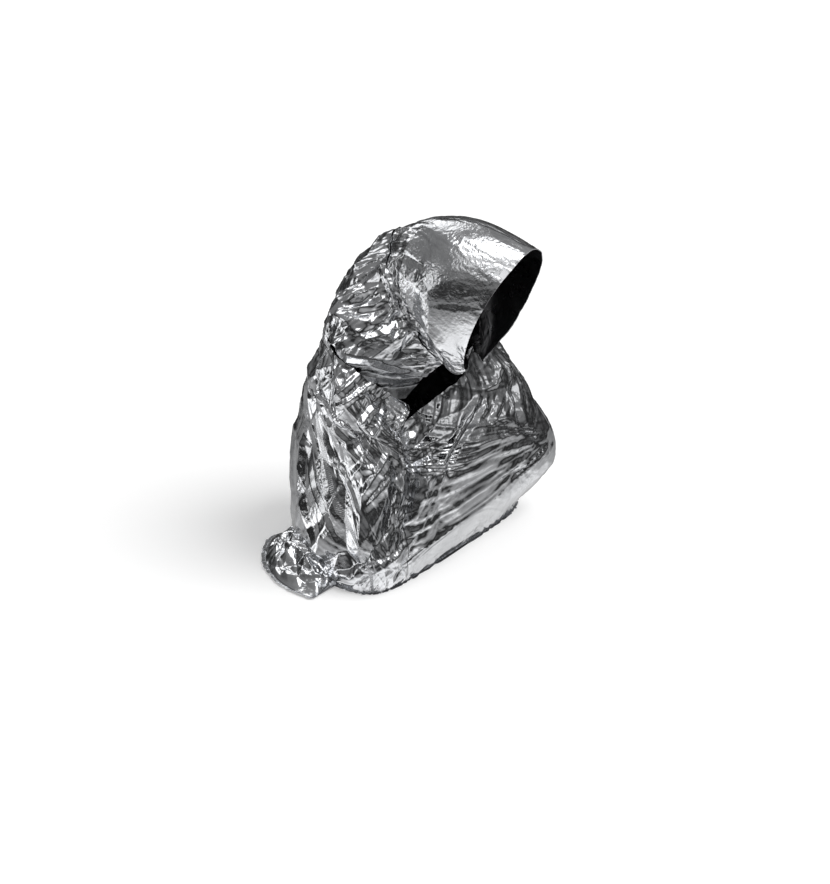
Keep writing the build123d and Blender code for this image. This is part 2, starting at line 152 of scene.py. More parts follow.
@dataclass(frozen=True)
class TubeForm:
    """The smooth tube under every fold, in metres.

    Each ring is its middle (x, y, z), its pitch in degrees, its half width, its
    reach to the front and to the back, and the power of its front and back
    curve.  Each bulge is its angle, its station, its spread in both, and its
    height.
    """

    rings: tuple[tuple[float, ...], ...] = (
        (-0.008, -0.145, 0.002, 0.0, 0.306, 0.098, 0.308, 4.5, 1.6),
        (-0.025, -0.128, 0.112, 3.0, 0.295, 0.155, 0.302, 3.5, 1.65),
        (0.010, -0.108, 0.290, 11.0, 0.284, 0.198, 0.266, 2.8, 1.7),
        (0.012, -0.100, 0.408, 25.0, 0.276, 0.164, 0.205, 2.4, 1.8),
        (-0.010, -0.096, 0.513, 42.0, 0.204, 0.139, 0.171, 2.1, 1.9),
        (0.000, -0.169, 0.606, 59.0, 0.121, 0.169, 0.169, 2.0, 2.0),
        (0.000, -0.254, 0.624, 86.0, 0.137, 0.180, 0.176, 2.0, 2.0),
        (0.000, -0.356, 0.616, 115.8, 0.109, 0.183, 0.168, 1.8, 1.8),
    )
    bulges: tuple[tuple[float, ...], ...] = (
        (-50.0, 1.2, 24.0, 0.8, 0.100),
        (-60.0, 2.8, 28.0, 0.8, 0.037),
        (75.0, 3.6, 28.0, 0.7, 0.020),
    )
    bulge_fade: float = 0.4
    normal_turn: float = 0.7
    normal_station: float = 0.02

    def ring_values(self, station: Array) -> Array:
        """Ring values at any station, on a smooth cubic through the rings.

        Args:
            station: Places along the tube.

        Returns:
            One row of nine ring values for each place.
        """
        rings = np.asarray(self.rings)
        last = len(rings) - 1
        index = np.clip(np.floor(station).astype(int), 0, last - 1)
        t = (station - index)[..., None]
        here, ahead = rings[index], rings[index + 1]
        before = np.where((index == 0)[..., None], 2 * here - ahead, rings[np.maximum(index - 1, 0)])
        after = np.where((index == last - 1)[..., None], 2 * ahead - here, rings[np.minimum(index + 2, last)])
        curve = (2 * before - 5 * here + 4 * ahead - after) * t**2
        twist = (3 * here - before - 3 * ahead + after) * t**3
        return 0.5 * (2 * here + (ahead - before) * t + curve + twist)

    def skin(self, angle: Array, station: Array) -> Array:
        """Points of the tube: a superellipse in each tilted ring, pushed out by the bulges.

        Args:
            angle: Degrees round the tube.
            station: Places along the tube.

        Returns:
            Points, with the coordinates on the last axis.
        """
        x, y, z, pitch, wide, front, back, front_power, back_power = np.moveaxis(
            self.ring_values(station), -1, 0
        )
        turn, pitch = np.radians(angle), np.radians(pitch)
        sine, cosine = np.sin(turn), -np.cos(turn)
        power = 2.0 / np.where(cosine > 0, back_power, front_power)
        side = -wide * np.sign(sine) * np.abs(sine) ** power
        reach = np.where(cosine > 0, back, front) * np.sign(cosine) * np.abs(cosine) ** power
        spoke = np.stack([side, reach * np.cos(pitch), reach * np.sin(pitch)], -1)
        length = np.linalg.norm(spoke, axis=-1, keepdims=True) + 1e-9
        push = np.zeros_like(x)
        for middle, along, turn_spread, station_spread, height in self.bulges:
            off = turn_off(angle, middle)
            push += height * np.exp(-((off / turn_spread) ** 2) - ((station - along) / station_spread) ** 2)
        push *= np.minimum(1.0, station / self.bulge_fade)
        return np.stack([x, y, z], -1) + spoke * (1.0 + push[..., None] / length)

    def normal(self, angle: Array, station: Array) -> Array:
        """Outward unit normals, level along the floor line.

        Args:
            angle: Degrees round the tube.
            station: Places along the tube.

        Returns:
            Unit vectors: the cross product of the two surface directions.
        """
        low = np.maximum(station - self.normal_station, 0.0)
        high = np.minimum(station + self.normal_station, RIM)
        across = self.skin(angle + self.normal_turn, station) - self.skin(angle - self.normal_turn, station)
        along = self.skin(angle, high) - self.skin(angle, low)
        cross = np.cross(along, across)
        cross[..., 2] *= smooth(0.0, 0.05, station)
        return cross / (np.linalg.norm(cross, axis=-1, keepdims=True) + 1e-12)


@dataclass
class FacetTile:
    """Repeating field of flat facets that meet at straight creases.

    The creases are pressed in as thin lines, half of them up and half down.
    """

    cells: int
    seed: int
    crease: float = 0.10
    crease_width: float = 0.05
    size: int = 896
    margin_cells: float = 3.0
    heights: Array = field(init=False)

    def __post_init__(self) -> None:
        """Scatters corners, joins them with triangles and fills the field."""
        rng = np.random.default_rng(self.seed)
        base = np.stack(np.meshgrid(np.arange(self.cells), np.arange(self.cells)), -1).reshape(-1, 2)
        spots = (base + rng.uniform(0.02, 0.98, base.shape)) / self.cells
        levels = rng.uniform(-1.0, 1.0, len(spots))
        shifts = np.array([(i, j) for i in (-1, 0, 1) for j in (-1, 0, 1)], float)
        spots = (spots[None] + shifts[:, None]).reshape(-1, 2)
        levels = np.tile(levels, len(shifts))
        margin = self.margin_cells / self.cells
        near = np.all((spots > -margin) & (spots < 1 + margin), axis=1)
        spots, levels = spots[near], levels[near]
        made = delaunay_2d_cdt([Vector(spot) for spot in spots], [], [], 0, 1e-9)
        corners = np.array([[v.x, v.y] for v in made[0]])
        source = np.array([origin[0] for origin in made[3]])
        self.heights = self._fill(corners, levels[source], np.array(made[2]))

    def _fill(self, corners: Array, levels: Array, triangles: Array) -> Array:
        """Height at each cell of the field: the plane through its triangle's corners.

        Args:
            corners: Triangle corners in tile units.
            levels: Height of each corner.
            triangles: Corner numbers of each triangle.

        Returns:
            Square field of heights.
        """
        out = np.zeros((self.size, self.size))
        for triangle in triangles:
            a, b, c = corners[triangle] * self.size
            low = np.maximum(np.floor(np.minimum(np.minimum(a, b), c)).astype(int), 0)
            high = np.minimum(np.ceil(np.maximum(np.maximum(a, b), c)).astype(int) + 1, self.size)
            if np.any(low >= high):
                continue
            x, y = np.meshgrid(np.arange(low[0], high[0]), np.arange(low[1], high[1]))
            area = (b[0] - a[0]) * (c[1] - a[1]) - (c[0] - a[0]) * (b[1] - a[1])
            if abs(area) < 1e-9:
                continue
            u = ((x - a[0]) * (c[1] - a[1]) - (c[0] - a[0]) * (y - a[1])) / area
            v = ((b[0] - a[0]) * (y - a[1]) - (x - a[0]) * (b[1] - a[1])) / area
            inside = (u >= -1e-6) & (v >= -1e-6) & (u + v <= 1 + 1e-6)
            shares = (1 - u - v, u, v)
            value = sum(levels[corner] * share for corner, share in zip(triangle, shares))
            for i, share in enumerate(shares):
                j, k = (i + 1) % 3, (i + 2) % 3
                side = np.linalg.norm(corners[triangle[k]] - corners[triangle[j]]) * self.cells
                away = share * abs(area) / self.size**2 * self.cells**2 / max(side, 1e-6)
                sign = 1.0 if levels[triangle[j]] + levels[triangle[k]] > 0 else -1.0
                value = value + sign * self.crease * np.exp(-((away / self.crease_width) ** 2))
            block = out[low[1]:high[1], low[0]:high[0]]
            block[inside] = value[inside]
        return out

    def sample(self, x: Array, y: Array) -> Array:
        """Heights at places in tile units, repeating, with straight blending between cells.

        Args:
            x: First coordinate, where 1 is a whole tile.
            y: Second coordinate.

        Returns:
            Heights from -1 to 1.
        """
        gx, gy = np.mod(x, 1.0) * self.size, np.mod(y, 1.0) * self.size
        i, j = np.floor(gx).astype(int), np.floor(gy).astype(int)
        fx, fy = gx - i, gy - j
        i0, j0 = i % self.size, j % self.size
        i1, j1 = (i + 1) % self.size, (j + 1) % self.size
        low = self.heights[j0, i0] * (1 - fx) + self.heights[j0, i1] * fx
        high = self.heights[j1, i0] * (1 - fx) + self.heights[j1, i1] * fx
        return low * (1 - fy) + high * fy


def to_plane(angle: Array, station: Array) -> tuple[Array, Array]:
    """Lays the tube flat: metres round it and metres along it."""
    return np.radians(angle) * MEAN_RADIUS, np.asarray(station) * STATION_LENGTH


@dataclass(frozen=True)
class Fold:
    """One designed fold along a line of (angle, station) places."""

    line: Table
    kind: FoldKind
    height: float
    width: float
    fade: float = 0.04
    end_margin: float = 0.004
    lap_step: float = 0.0025

    def lift(self, angle: Array, station: Array) -> Array:
        """Outward push of the fold.

        The nearest distance to the line sets the height: a roof for a ridge or
        valley, a half circle for a roll, and for a lap a slope on the left of
        the line that ends in a step on it.

        Args:
            angle: Degrees round the tube.
            station: Places along the tube.

        Returns:
            Metres outwards.
        """
        line = np.asarray(self.line, float)
        middle = line[:, 0].mean()
        s, t = to_plane(turn_off(angle, middle) + middle, station)
        ps, pt = to_plane(line[:, 0], line[:, 1])
        best = np.full(s.shape, np.inf)
        side = np.ones(s.shape)
        along = np.zeros(s.shape)
        gone = 0.0
        for a0, b0, a1, b1 in zip(ps, pt, ps[1:], pt[1:]):
            ds, dt = a1 - a0, b1 - b0
            length = math.hypot(ds, dt)
            share = np.clip(((s - a0) * ds + (t - b0) * dt) / length**2, 0.0, 1.0)
            rs, rt = s - a0 - share * ds, t - b0 - share * dt
            distance = np.hypot(rs, rt)
            closer = distance < best
            best = np.where(closer, distance, best)
            side = np.where(closer, np.sign(ds * rt - dt * rs), side)
            along = np.where(closer, gone + share * length, along)
            gone += length
        ends = smooth(0.0, self.fade, np.minimum(along, gone - along) + self.end_margin)
        near = np.clip(1.0 - best / self.width, 0.0, 1.0)
        if self.kind is FoldKind.RIDGE:
            shape = near
        elif self.kind is FoldKind.VALLEY:
            shape = -near
        elif self.kind is FoldKind.ROLL:
            shape = np.sqrt(1.0 - (1.0 - near) ** 2)
        else:
            shape = near * smooth(-self.lap_step, self.lap_step, side * best)
        return self.height * ends * shape


@dataclass(frozen=True)
class Fan:
    """Folds that spread from one place like the ribs of a fan."""

    centre: tuple[float, float]
    start: float
    stop: float
    reach: float
    ribs: float
    height: float
    soft_turn: float = 6.0
    heart: float = 0.06
    facet_length: float = 0.16

    def lift(self, angle: Array, station: Array, tile: FacetTile) -> Array:
        """Outward push: facets drawn long in the radius, between two bearings.

        Args:
            angle: Degrees round the tube.
            station: Places along the tube.
            tile: Facet field to draw from.

        Returns:
            Metres outwards.
        """
        s, t = to_plane(angle, station)
        cs, ct = to_plane(*self.centre)
        radius = np.hypot(s - cs, t - ct)
        bearing = np.degrees(np.arctan2(t - ct, s - cs))
        after = smooth(self.start - self.soft_turn, self.start + self.soft_turn, bearing)
        before = smooth(self.stop + self.soft_turn, self.stop - self.soft_turn, bearing)
        rise = smooth(0.0, self.heart, radius) * smooth(self.reach, self.reach * 0.75, radius)
        x = bearing / 360.0 * self.ribs / tile.cells
        y = radius / (self.facet_length * tile.cells) + self.centre[0]
        return self.height * tile.sample(x, y) * (after * before) * rise


@dataclass(frozen=True)
class Area:
    """Soft-edged part of the tube where a layer is made stronger or weaker."""

    angle: float
    station: float
    half_turn: float
    half_length: float
    factor: float

    def weigh(self, angle: Array, station: Array) -> Array:
        """Factor at each place: 1 far away, the area's own factor in its middle.

        Args:
            angle: Degrees round the tube.
            station: Places along the tube.

        Returns:
            Factors, falling off as the exponential of a fourth power.
        """
        turn = turn_off(angle, self.angle) / self.half_turn
        along = (station - self.station) / self.half_length
        return 1.0 + (self.factor - 1.0) * np.exp(-(turn**4) - along**4)


@dataclass(frozen=True)
class Layer:
    """One size of crumple, laid all over the tube from a facet tile."""

    tile: int
    repeats: int
    length: float
    height: float
    slant: float = 0.0
    winding: int = 0
    areas: tuple[Area, ...] = ()
    patchy: float = 0.0
    patch_length: float = 1.7

    def lift(self, angle: Array, station: Array, tiles: Sequence[FacetTile]) -> Array:
        """Outward push of the layer.

        Args:
            angle: Degrees round the tube.
            station: Places along the tube.
            tiles: Facet fields to draw from.

        Returns:
            Metres outwards: tile height, times layer height, times every area's factor.
        """
        along = station * STATION_LENGTH / self.length
        turns = angle / 360.0
        height = np.full(np.shape(angle), self.height)
        for area in self.areas:
            height = height * area.weigh(angle, station)
        if self.patchy:
            patch = station * STATION_LENGTH / self.patch_length
            choice = tiles[0].sample(turns + 0.37 * self.patchy, patch + 0.61)
            height = height * smooth(-0.25, 0.35, choice * self.patchy)
        x = turns * self.repeats + along * self.slant
        return height * tiles[self.tile].sample(x, along + turns * self.winding)


@dataclass
class Crumple:
    """Everything that bends the film off the smooth tube."""

    layers: tuple[Layer, ...]
    folds: tuple[Fold, ...]
    fans: tuple[Fan, ...]
    tiles: tuple[FacetTile, ...]
    floor_share: float = 0.3
    floor_fade: float = 0.25

    def lift(self, angle: Array, station: Array) -> Array:
        """Outward push of all layers, folds and fans together.

        Args:
            angle: Degrees round the tube.
            station: Places along the tube.

        Returns:
            Metres outwards, fading to a third along the floor line.
        """
        angle = np.asarray(angle, float)
        total = np.zeros(angle.shape)
        for layer in self.layers:
            total += layer.lift(angle, station, self.tiles)
        for fan in self.fans:
            total += fan.lift(angle, station, self.tiles[0])
        for fold in self.folds:
            total += fold.lift(angle, station)
        return total * (self.floor_share + (1.0 - self.floor_share) * smooth(0.0, self.floor_fade, station))


def grid_places(
    left: Callable[[Array], Array],
    right: Callable[[Array], Array],
    bottom: Callable[[Array], Array],
    top: Callable[[Array], Array],
    columns: int,
    rows: int,
) -> tuple[Array, Array]:
    """Even grid between two side edges and two end edges.

    The side edges give an angle at each station and the end edges a station at
    each angle, so each place is settled by turns between the two.

    Args:
        left: Angle of the first column at each station.
        right: Angle of the last column at each station.
        bottom: Station of the first row at each angle.
        top: Station of the last row at each angle.
        columns: Number of columns.
        rows: Number of rows.

    Returns:
        Angles and stations, with a row of the grid on each row.
    """
    across, share = even_grid((0.0, 1.0, columns), (0.0, 1.0, rows))
    angle = station = np.full(across.shape, 2.0)
    for _ in range(SETTLING_ROUNDS):
        low, high = left(station), right(station)
        angle = low + (high - low) * across
        start, stop = bottom(angle), top(angle)
        station = start + (stop - start) * share
    return angle, station


def level(value: float) -> Callable[[Array], Array]:
    """Edge that keeps one value."""
    return lambda at: np.full(np.shape(at), float(value))


def edge(table: Table, shift: float = 0.0) -> Callable[[Array], Array]:
    """Edge that follows a table, moved by a fixed amount."""
    return lambda at: table_value(table, at) + shift


def ragged(
    table: Table, tile: FacetTile, depth: float, repeats: float, row: float, shift: float = 0.0
) -> Callable[[Array], Array]:
    """Edge that follows a table and wanders off it along one row of a facet field.

    Args:
        table: Station against angle.
        tile: Facet field.
        depth: Furthest that the edge wanders, in stations.
        repeats: Repeats of the field round the tube.
        row: Row of the field, from 0 to 1.
        shift: Fixed amount added.

    Returns:
        The edge.
    """

    def station(angle: Array) -> Array:
        """Station of the edge at each angle."""
        wander = tile.sample(angle / 360.0 * repeats, np.full(np.shape(angle), row))
        return table_value(table, angle) + depth * wander + shift

    return station


def turn_of(width: float) -> float:
    """Angle in degrees taken up by a width of film in metres."""
    return math.degrees(width / MEAN_RADIUS)


def set_mesh(name: str, points: Array, quads: Array, uv: Array, finish: Array) -> bpy.types.Object:
    """Mesh object from whole arrays.

    Args:
        name: Name of the object.
        points: Vertices, one on each row.
        quads: Four vertex numbers on each row.
        uv: Film coordinates in metres at each vertex.
        finish: Number of the finish on each quad.

    Returns:
        The object, smooth shaded, with edges over 60 degrees kept sharp.
    """
    mesh = bpy.data.meshes.new(name)
    mesh.vertices.add(len(points))
    mesh.vertices.foreach_set("co", np.asarray(points, np.float32).ravel())
    mesh.loops.add(quads.size)
    mesh.loops.foreach_set("vertex_index", quads.astype(np.int32).ravel())
    mesh.polygons.add(len(quads))
    mesh.polygons.foreach_set("loop_start", np.arange(0, quads.size, 4, dtype=np.int32))
    mesh.polygons.foreach_set("loop_total", np.full(len(quads), 4, np.int32))
    mesh.polygons.foreach_set("material_index", finish)
    layer = mesh.uv_layers.new(name="film")
    mesh.update(calc_edges=True)
    layer.data.foreach_set("uv", uv[quads.ravel()].astype(np.float32).ravel())
    mesh.polygons.foreach_set("use_smooth", np.ones(len(quads), bool))
    mesh.validate()
    mesh.set_sharp_from_angle(angle=math.radians(60.0))
    thing = bpy.data.objects.new(name, mesh)
    bpy.context.scene.collection.objects.link(thing)
    return thing


def film_mesh(name: str, outer: Array, inner: Array, uv: Array) -> bpy.types.Object:
    """Closed thin sheet between an outer and an inner grid.

    Args:
        name: Name of the object.
        outer: Grid of points of the outer face.
        inner: Grid of points of the inner face.
        uv: Grid of film coordinates in metres.

    Returns:
        The object, with its faces turned outwards.
    """
    rows, columns = outer.shape[:2]
    index = np.arange(rows * columns).reshape(rows, columns)
    face = np.stack([index[:-1, :-1], index[:-1, 1:], index[1:, 1:], index[1:, :-1]], -1).reshape(-1, 4)
    rim = np.concatenate([index[0, :], index[1:, -1], index[-1, -2::-1], index[-2:0:-1, 0]])
    ahead = np.roll(rim, -1)
    count = rows * columns
    wall = np.stack([ahead, rim, rim + count, ahead + count], -1)
    points = np.concatenate([outer.reshape(-1, 3), inner.reshape(-1, 3)])
    quads = np.concatenate([face[:, ::-1], face + count, wall[:, ::-1]])
    flat = uv.reshape(-1, 2)
    if signed_volume(points, quads) < 0:
        quads = quads[:, ::-1]
    # Inner faces take the second material: the dark film of painted shade.
    inward = np.zeros(len(quads), np.int32)
    inward[len(face):2 * len(face)] = 1
    return set_mesh(name, points, quads, np.concatenate([flat, flat]), inward)


def laid_sheet(
    name: str, plan: Array, rise: Array, thickness: float, uv: Array
) -> tuple[bpy.types.Object, Array]:
    """Closed thin sheet that lies over places on the floor.

    Args:
        name: Name of the object.
        plan: Grid of places.
        rise: Height of the upper face at each place.
        thickness: Thickness, taken downwards.
        uv: Grid of film coordinates in metres.

    Returns:
        The object and the grid of its upper face.
    """
    outer = np.stack([plan[..., 0], plan[..., 1], rise], -1)
    return film_mesh(name, outer, outer - np.array([0.0, 0.0, thickness]), uv), outer


def signed_volume(points: Array, quads: Array) -> float:
    """Six times the volume inside quads: corner products summed over both halves of each."""
    a, b, c, d = (points[quads[:, i]] for i in range(4))
    return float(np.sum(a * np.cross(b, c)) + np.sum(a * np.cross(c, d)))


def face_area(outer: Array) -> float:
    """Area of a grid: half the cross product of both diagonals of each cell, summed."""
    first, second = outer[1:, 1:] - outer[:-1, :-1], outer[1:, :-1] - outer[:-1, 1:]
    return float(0.5 * np.linalg.norm(np.cross(first, second), axis=-1).sum())


def flat_size(outer: Array) -> tuple[float, float, float]:
    """Cut size of a crumpled sheet: mean row length, mean column length and area.

    Args:
        outer: Grid of points of one face.

    Returns:
        Width, length and area of the film when pulled flat, in metres.
    """
    width = float(np.linalg.norm(np.diff(outer, axis=1), axis=-1).sum(1).mean())
    length = float(np.linalg.norm(np.diff(outer, axis=0), axis=-1).sum(0).mean())
    return width, length, min(face_area(outer), width * length)


@dataclass
class FilmCloth:
    """The crumpled tube that every panel is cut from."""

    form: TubeForm
    crumple: Crumple

    def points(self, angle: Array, station: Array, lift: Array | float = 0.0, share: float = 1.0) -> Array:
        """Points of the crumpled tube, held off it along its normals.

        Args:
            angle: Degrees round the tube.
            station: Places along the tube.
            lift: Metres off the film, outwards when positive.
            share: How much of the crumple to keep.

        Returns:
            Points, never below the ground sheet.
        """
        push = self.crumple.lift(angle, station) * share + lift
        made = self.form.skin(angle, station) + self.form.normal(angle, station) * push[..., None]
        made[..., 2] = np.maximum(made[..., 2], FLOOR_CLEARANCE)
        return made

    def panel(
        self,
        name: str,
        places: tuple[Array, Array],
        lift: Array | float = 0.0,
        thickness: float = FILM_THICKNESS,
        share: float = 1.0,
    ) -> tuple[bpy.types.Object, tuple[float, float, float]]:
        """Thin closed panel of film over a grid of places.

        Args:
            name: Name of the piece.
            places: Grid of angles and grid of stations.
            lift: Metres off the film.
            thickness: Thickness, taken inwards.
            share: How much of the crumple to keep.

        Returns:
            The piece, and the width, length and area of its flat film.
        """
        angle, station = places
        outer = self.points(angle, station, lift, share)
        inner = outer - self.form.normal(angle, station) * thickness
        s, t = to_plane(angle, station)
        return film_mesh(name, outer, inner, np.stack([s, t], -1)), flat_size(outer)


def add_node(
    tree: bpy.types.NodeTree, kind: str, inputs: dict[str | int, object], **options: str
) -> bpy.types.Node:
    """Adds a shader node with its options, values and links.

    Args:
        tree: Node tree to add to.
        kind: Node type, without the "ShaderNode" in front.
        inputs: For each input, its value or the socket that feeds it.
        options: Settings of the node itself.

    Returns:
        The node.
    """
    node = tree.nodes.new(f"ShaderNode{kind}")
    for name, option in options.items():
        setattr(node, name, option)
    for key, value in inputs.items():
        if isinstance(value, bpy.types.NodeSocket):
            tree.links.new(value, node.inputs[key])
        else:
            node.inputs[key].default_value = value
    return node


def add_range(
    tree: bpy.types.NodeTree,
    value: bpy.types.NodeSocket,
    source: tuple[float, float],
    target: tuple[float, float] = (0.0, 1.0),
    **options: str,
) -> bpy.types.NodeSocket:
    """Adds a node that maps one range of values onto another.

    Args:
        tree: Node tree to add to.
        value: Socket to map.
        source: Values that go to the ends of the target.
        target: Values to end at.
        options: Settings of the node itself.

    Returns:
        Socket with the mapped value.
    """
    ends = {"From Min": source[0], "From Max": source[1], "To Min": target[0], "To Max": target[1]}
    return add_node(tree, "MapRange", {"Value": value, **ends}, **options).outputs["Result"]


@dataclass(frozen=True)
class FilmFinish:
    """Metallised plastic film, bright or satin, with crinkles too small for the mesh.

    Scales are in features for each metre, depths and the rib pitch in metres,
    and calm is the share of crinkle left in the quiet patches.
    """

    name: str
    colour: tuple[float, float, float] = (0.80, 0.81, 0.83)
    shade: tuple[float, float, float] = (0.66, 0.67, 0.69)
    smoothest: float = 0.07
    roughest: float = 0.20
    tint_scale: float = 9.0
    dull_scale: float = 38.0
    warp_scale: float = 26.0
    warp_reach: float = 0.02
    crinkle_scale: float = 95.0
    crinkle_depth: float = 0.0007
    grain_scale: float = 320.0
    grain_depth: float = 0.00012
    calm_scale: float = 15.0
    calm: float = 0.2
    rib_pitch: float = 0.0
    rib_depth: float = 0.0
    rib_wander: float = 0.4

    def make(self) -> bpy.types.Material:
        """Node material: metal with patchy roughness, facet crinkle, fine grain and seal ribs.

        Returns:
            The material.
        """
        material = bpy.data.materials.new(self.name)
        material.use_nodes = True
        tree = material.node_tree
        tree.nodes.clear()
        place = add_node(tree, "TexCoord", {}).outputs["Object"]
        tint = add_node(tree, "ValToRGB", {"Fac": self._noise(tree, place, self.tint_scale, 4.0)})
        for element, where, tone in zip(tint.color_ramp.elements, (0.35, 0.62), (self.shade, self.colour)):
            element.position, element.color = where, (*tone, 1.0)
        dull = self._noise(tree, place, self.dull_scale, 5.0)
        roughness = add_range(tree, dull, (0.35, 0.68), (self.smoothest, self.roughest))
        relief = self._bump(tree, self._crinkle(tree, place), self.crinkle_depth)
        relief = self._bump(tree, self._noise(tree, place, self.grain_scale, 3.0), self.grain_depth, relief)
        if self.rib_pitch > 0:
            relief = self._bump(tree, self._ribs(tree), self.rib_depth, relief)
        colour = tint.outputs["Color"]
        surface = {"Metallic": 1.0, "Base Color": colour, "Roughness": roughness, "Normal": relief}
        shader = add_node(tree, "BsdfPrincipled", surface)
        add_node(tree, "OutputMaterial", {"Surface": shader.outputs["BSDF"]})
        return material

    def _crinkle(self, tree: bpy.types.NodeTree, place: bpy.types.NodeSocket) -> bpy.types.NodeSocket:
        """Adds small square facets on warped places, busy in some patches and calm in others.

        Args:
            tree: Node tree to add to.
            place: Socket with the place on the piece.

        Returns:
            Socket with the height of the crinkle.
        """
        bend = self._noise(tree, place, self.warp_scale, 2.0, "Color")
        sway = {0: bend, 1: (self.warp_reach,) * 3, 2: place}
        warp = add_node(tree, "VectorMath", sway, operation="MULTIPLY_ADD").outputs["Vector"]
        cells = {"Vector": warp, "Scale": self.crinkle_scale}
        facets = add_node(tree, "TexVoronoi", cells, feature="F1", distance="CHEBYCHEV").outputs["Distance"]
        choice = self._noise(tree, place, self.calm_scale, 1.0)
        busy = add_range(tree, choice, (0.48, 0.62), (self.calm, 1.0))
        return add_node(tree, "Math", {0: facets, 1: busy}, operation="MULTIPLY").outputs["Value"]

    def _ribs(self, tree: bpy.types.NodeTree) -> bpy.types.NodeSocket:
        """Adds the pressed ribs of a heat seal: waves across the length of the strip."""
        flat = add_node(tree, "UVMap", {}, uv_map="film").outputs["UV"]
        waves = {"Vector": flat, "Scale": RIB_SCALE / self.rib_pitch, "Distortion": self.rib_wander}
        return add_node(tree, "TexWave", waves, bands_direction="Y").outputs["Fac"]

    @staticmethod
    def _noise(
        tree: bpy.types.NodeTree, place: bpy.types.NodeSocket, scale: float, detail: float, kind: str = "Fac"
    ) -> bpy.types.NodeSocket:
        """Adds a noise over the piece and gives its value, or its colour."""
        noise = add_node(tree, "TexNoise", {"Vector": place, "Scale": scale, "Detail": detail})
        return noise.outputs[kind]

    @staticmethod
    def _bump(
        tree: bpy.types.NodeTree,
        height: bpy.types.NodeSocket,
        depth: float,
        before: bpy.types.NodeSocket | None = None,
    ) -> bpy.types.NodeSocket:
        """Adds a bump of a real depth, on top of an earlier one.

        Args:
            tree: Node tree to add to.
            height: Socket that gives the height from 0 to 1.
            depth: Depth in metres.
            before: Normal of the earlier bump, if there is one.

        Returns:
            Socket with the bumped normal.
        """
        inputs: dict[str | int, object] = {"Strength": 1.0, "Distance": depth, "Height": height}
        if before is not None:
            inputs["Normal"] = before
        return add_node(tree, "Bump", inputs).outputs["Normal"]


FILM = FilmFinish("crumpled_film")
HOOD_FILM = FilmFinish(
    "dimpled_hood_film", smoothest=0.12, roughest=0.27, crinkle_scale=130.0, crinkle_depth=0.0009, calm=0.6
)
INNER_FILM = FilmFinish(
    "satin_inner_film", colour=(0.62, 0.63, 0.65), shade=(0.48, 0.49, 0.51), smoothest=0.2, roughest=0.34,
    crinkle_depth=0.0003,
)
GROUND_FILM = FilmFinish("flattened_ground_film", colour=(0.72, 0.73, 0.75), roughest=0.3)
# Painted shade: the inside face of every piece gets this dark grey film, so the inside of the sack and of the
# hood reads as shaded.
PAINTED_SHADE_LINING = FilmFinish(
    "dark_inner_face", colour=(0.34, 0.34, 0.35), shade=(0.22, 0.22, 0.23), smoothest=0.25, roughest=0.45
)
SEAL = FilmFinish("ribbed_heat_seal", rib_pitch=0.0026, rib_depth=0.00035, crinkle_depth=0.0004)
HEM = FilmFinish(
    "folded_edge_hem", colour=(0.84, 0.85, 0.87), smoothest=0.06, roughest=0.16, crinkle_depth=0.0005
)


@dataclass
class Wardrobe:
    """Finishes made once each, by the material slot they fill."""

    finishes: dict[str, FilmFinish] = field(
        default_factory=lambda: {
            "film": FILM,
            "hood_film": HOOD_FILM,
            "inner_film": INNER_FILM,
            "ground_film": GROUND_FILM,
            "sealed_seam": SEAL,
            "folded_hem": HEM,
            "painted_shade_lining": PAINTED_SHADE_LINING,
        }
    )
    made: dict[str, bpy.types.Material] = field(default_factory=dict)

    def dress(self, piece: bpy.types.Object, slot: str) -> None:
        """Gives a piece the finish of its slot, and its inner face the dark film of painted shade.

        Args:
            piece: The piece.
            slot: Material slot of the record.
        """
        for key in (slot, "painted_shade_lining"):
            if key not in self.made:
                self.made[key] = self.finishes[key].make()
            piece.data.materials.append(self.made[key])


@dataclass
class Maker:
    """What every sub-assembly needs: the film, the finishes and the report."""

    cloth: FilmCloth
    wardrobe: Wardrobe = field(default_factory=Wardrobe)

    def finish(self, piece: bpy.types.Object, slot: str) -> bpy.types.Object:
        """Dresses a piece, stands it for the CAD node of its name and reports it.

        Args:
            piece: The piece, named after its node with "_film" added.
            slot: Material slot.

        Returns:
            The same piece.
        """
        self.wardrobe.dress(piece, slot)
        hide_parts(piece.name.removesuffix("_film"))
        triangles = 2 * len(piece.data.polygons)
        LOG.info("%-28s %7d triangles, finish %s", piece.name, triangles, slot)
        return piece


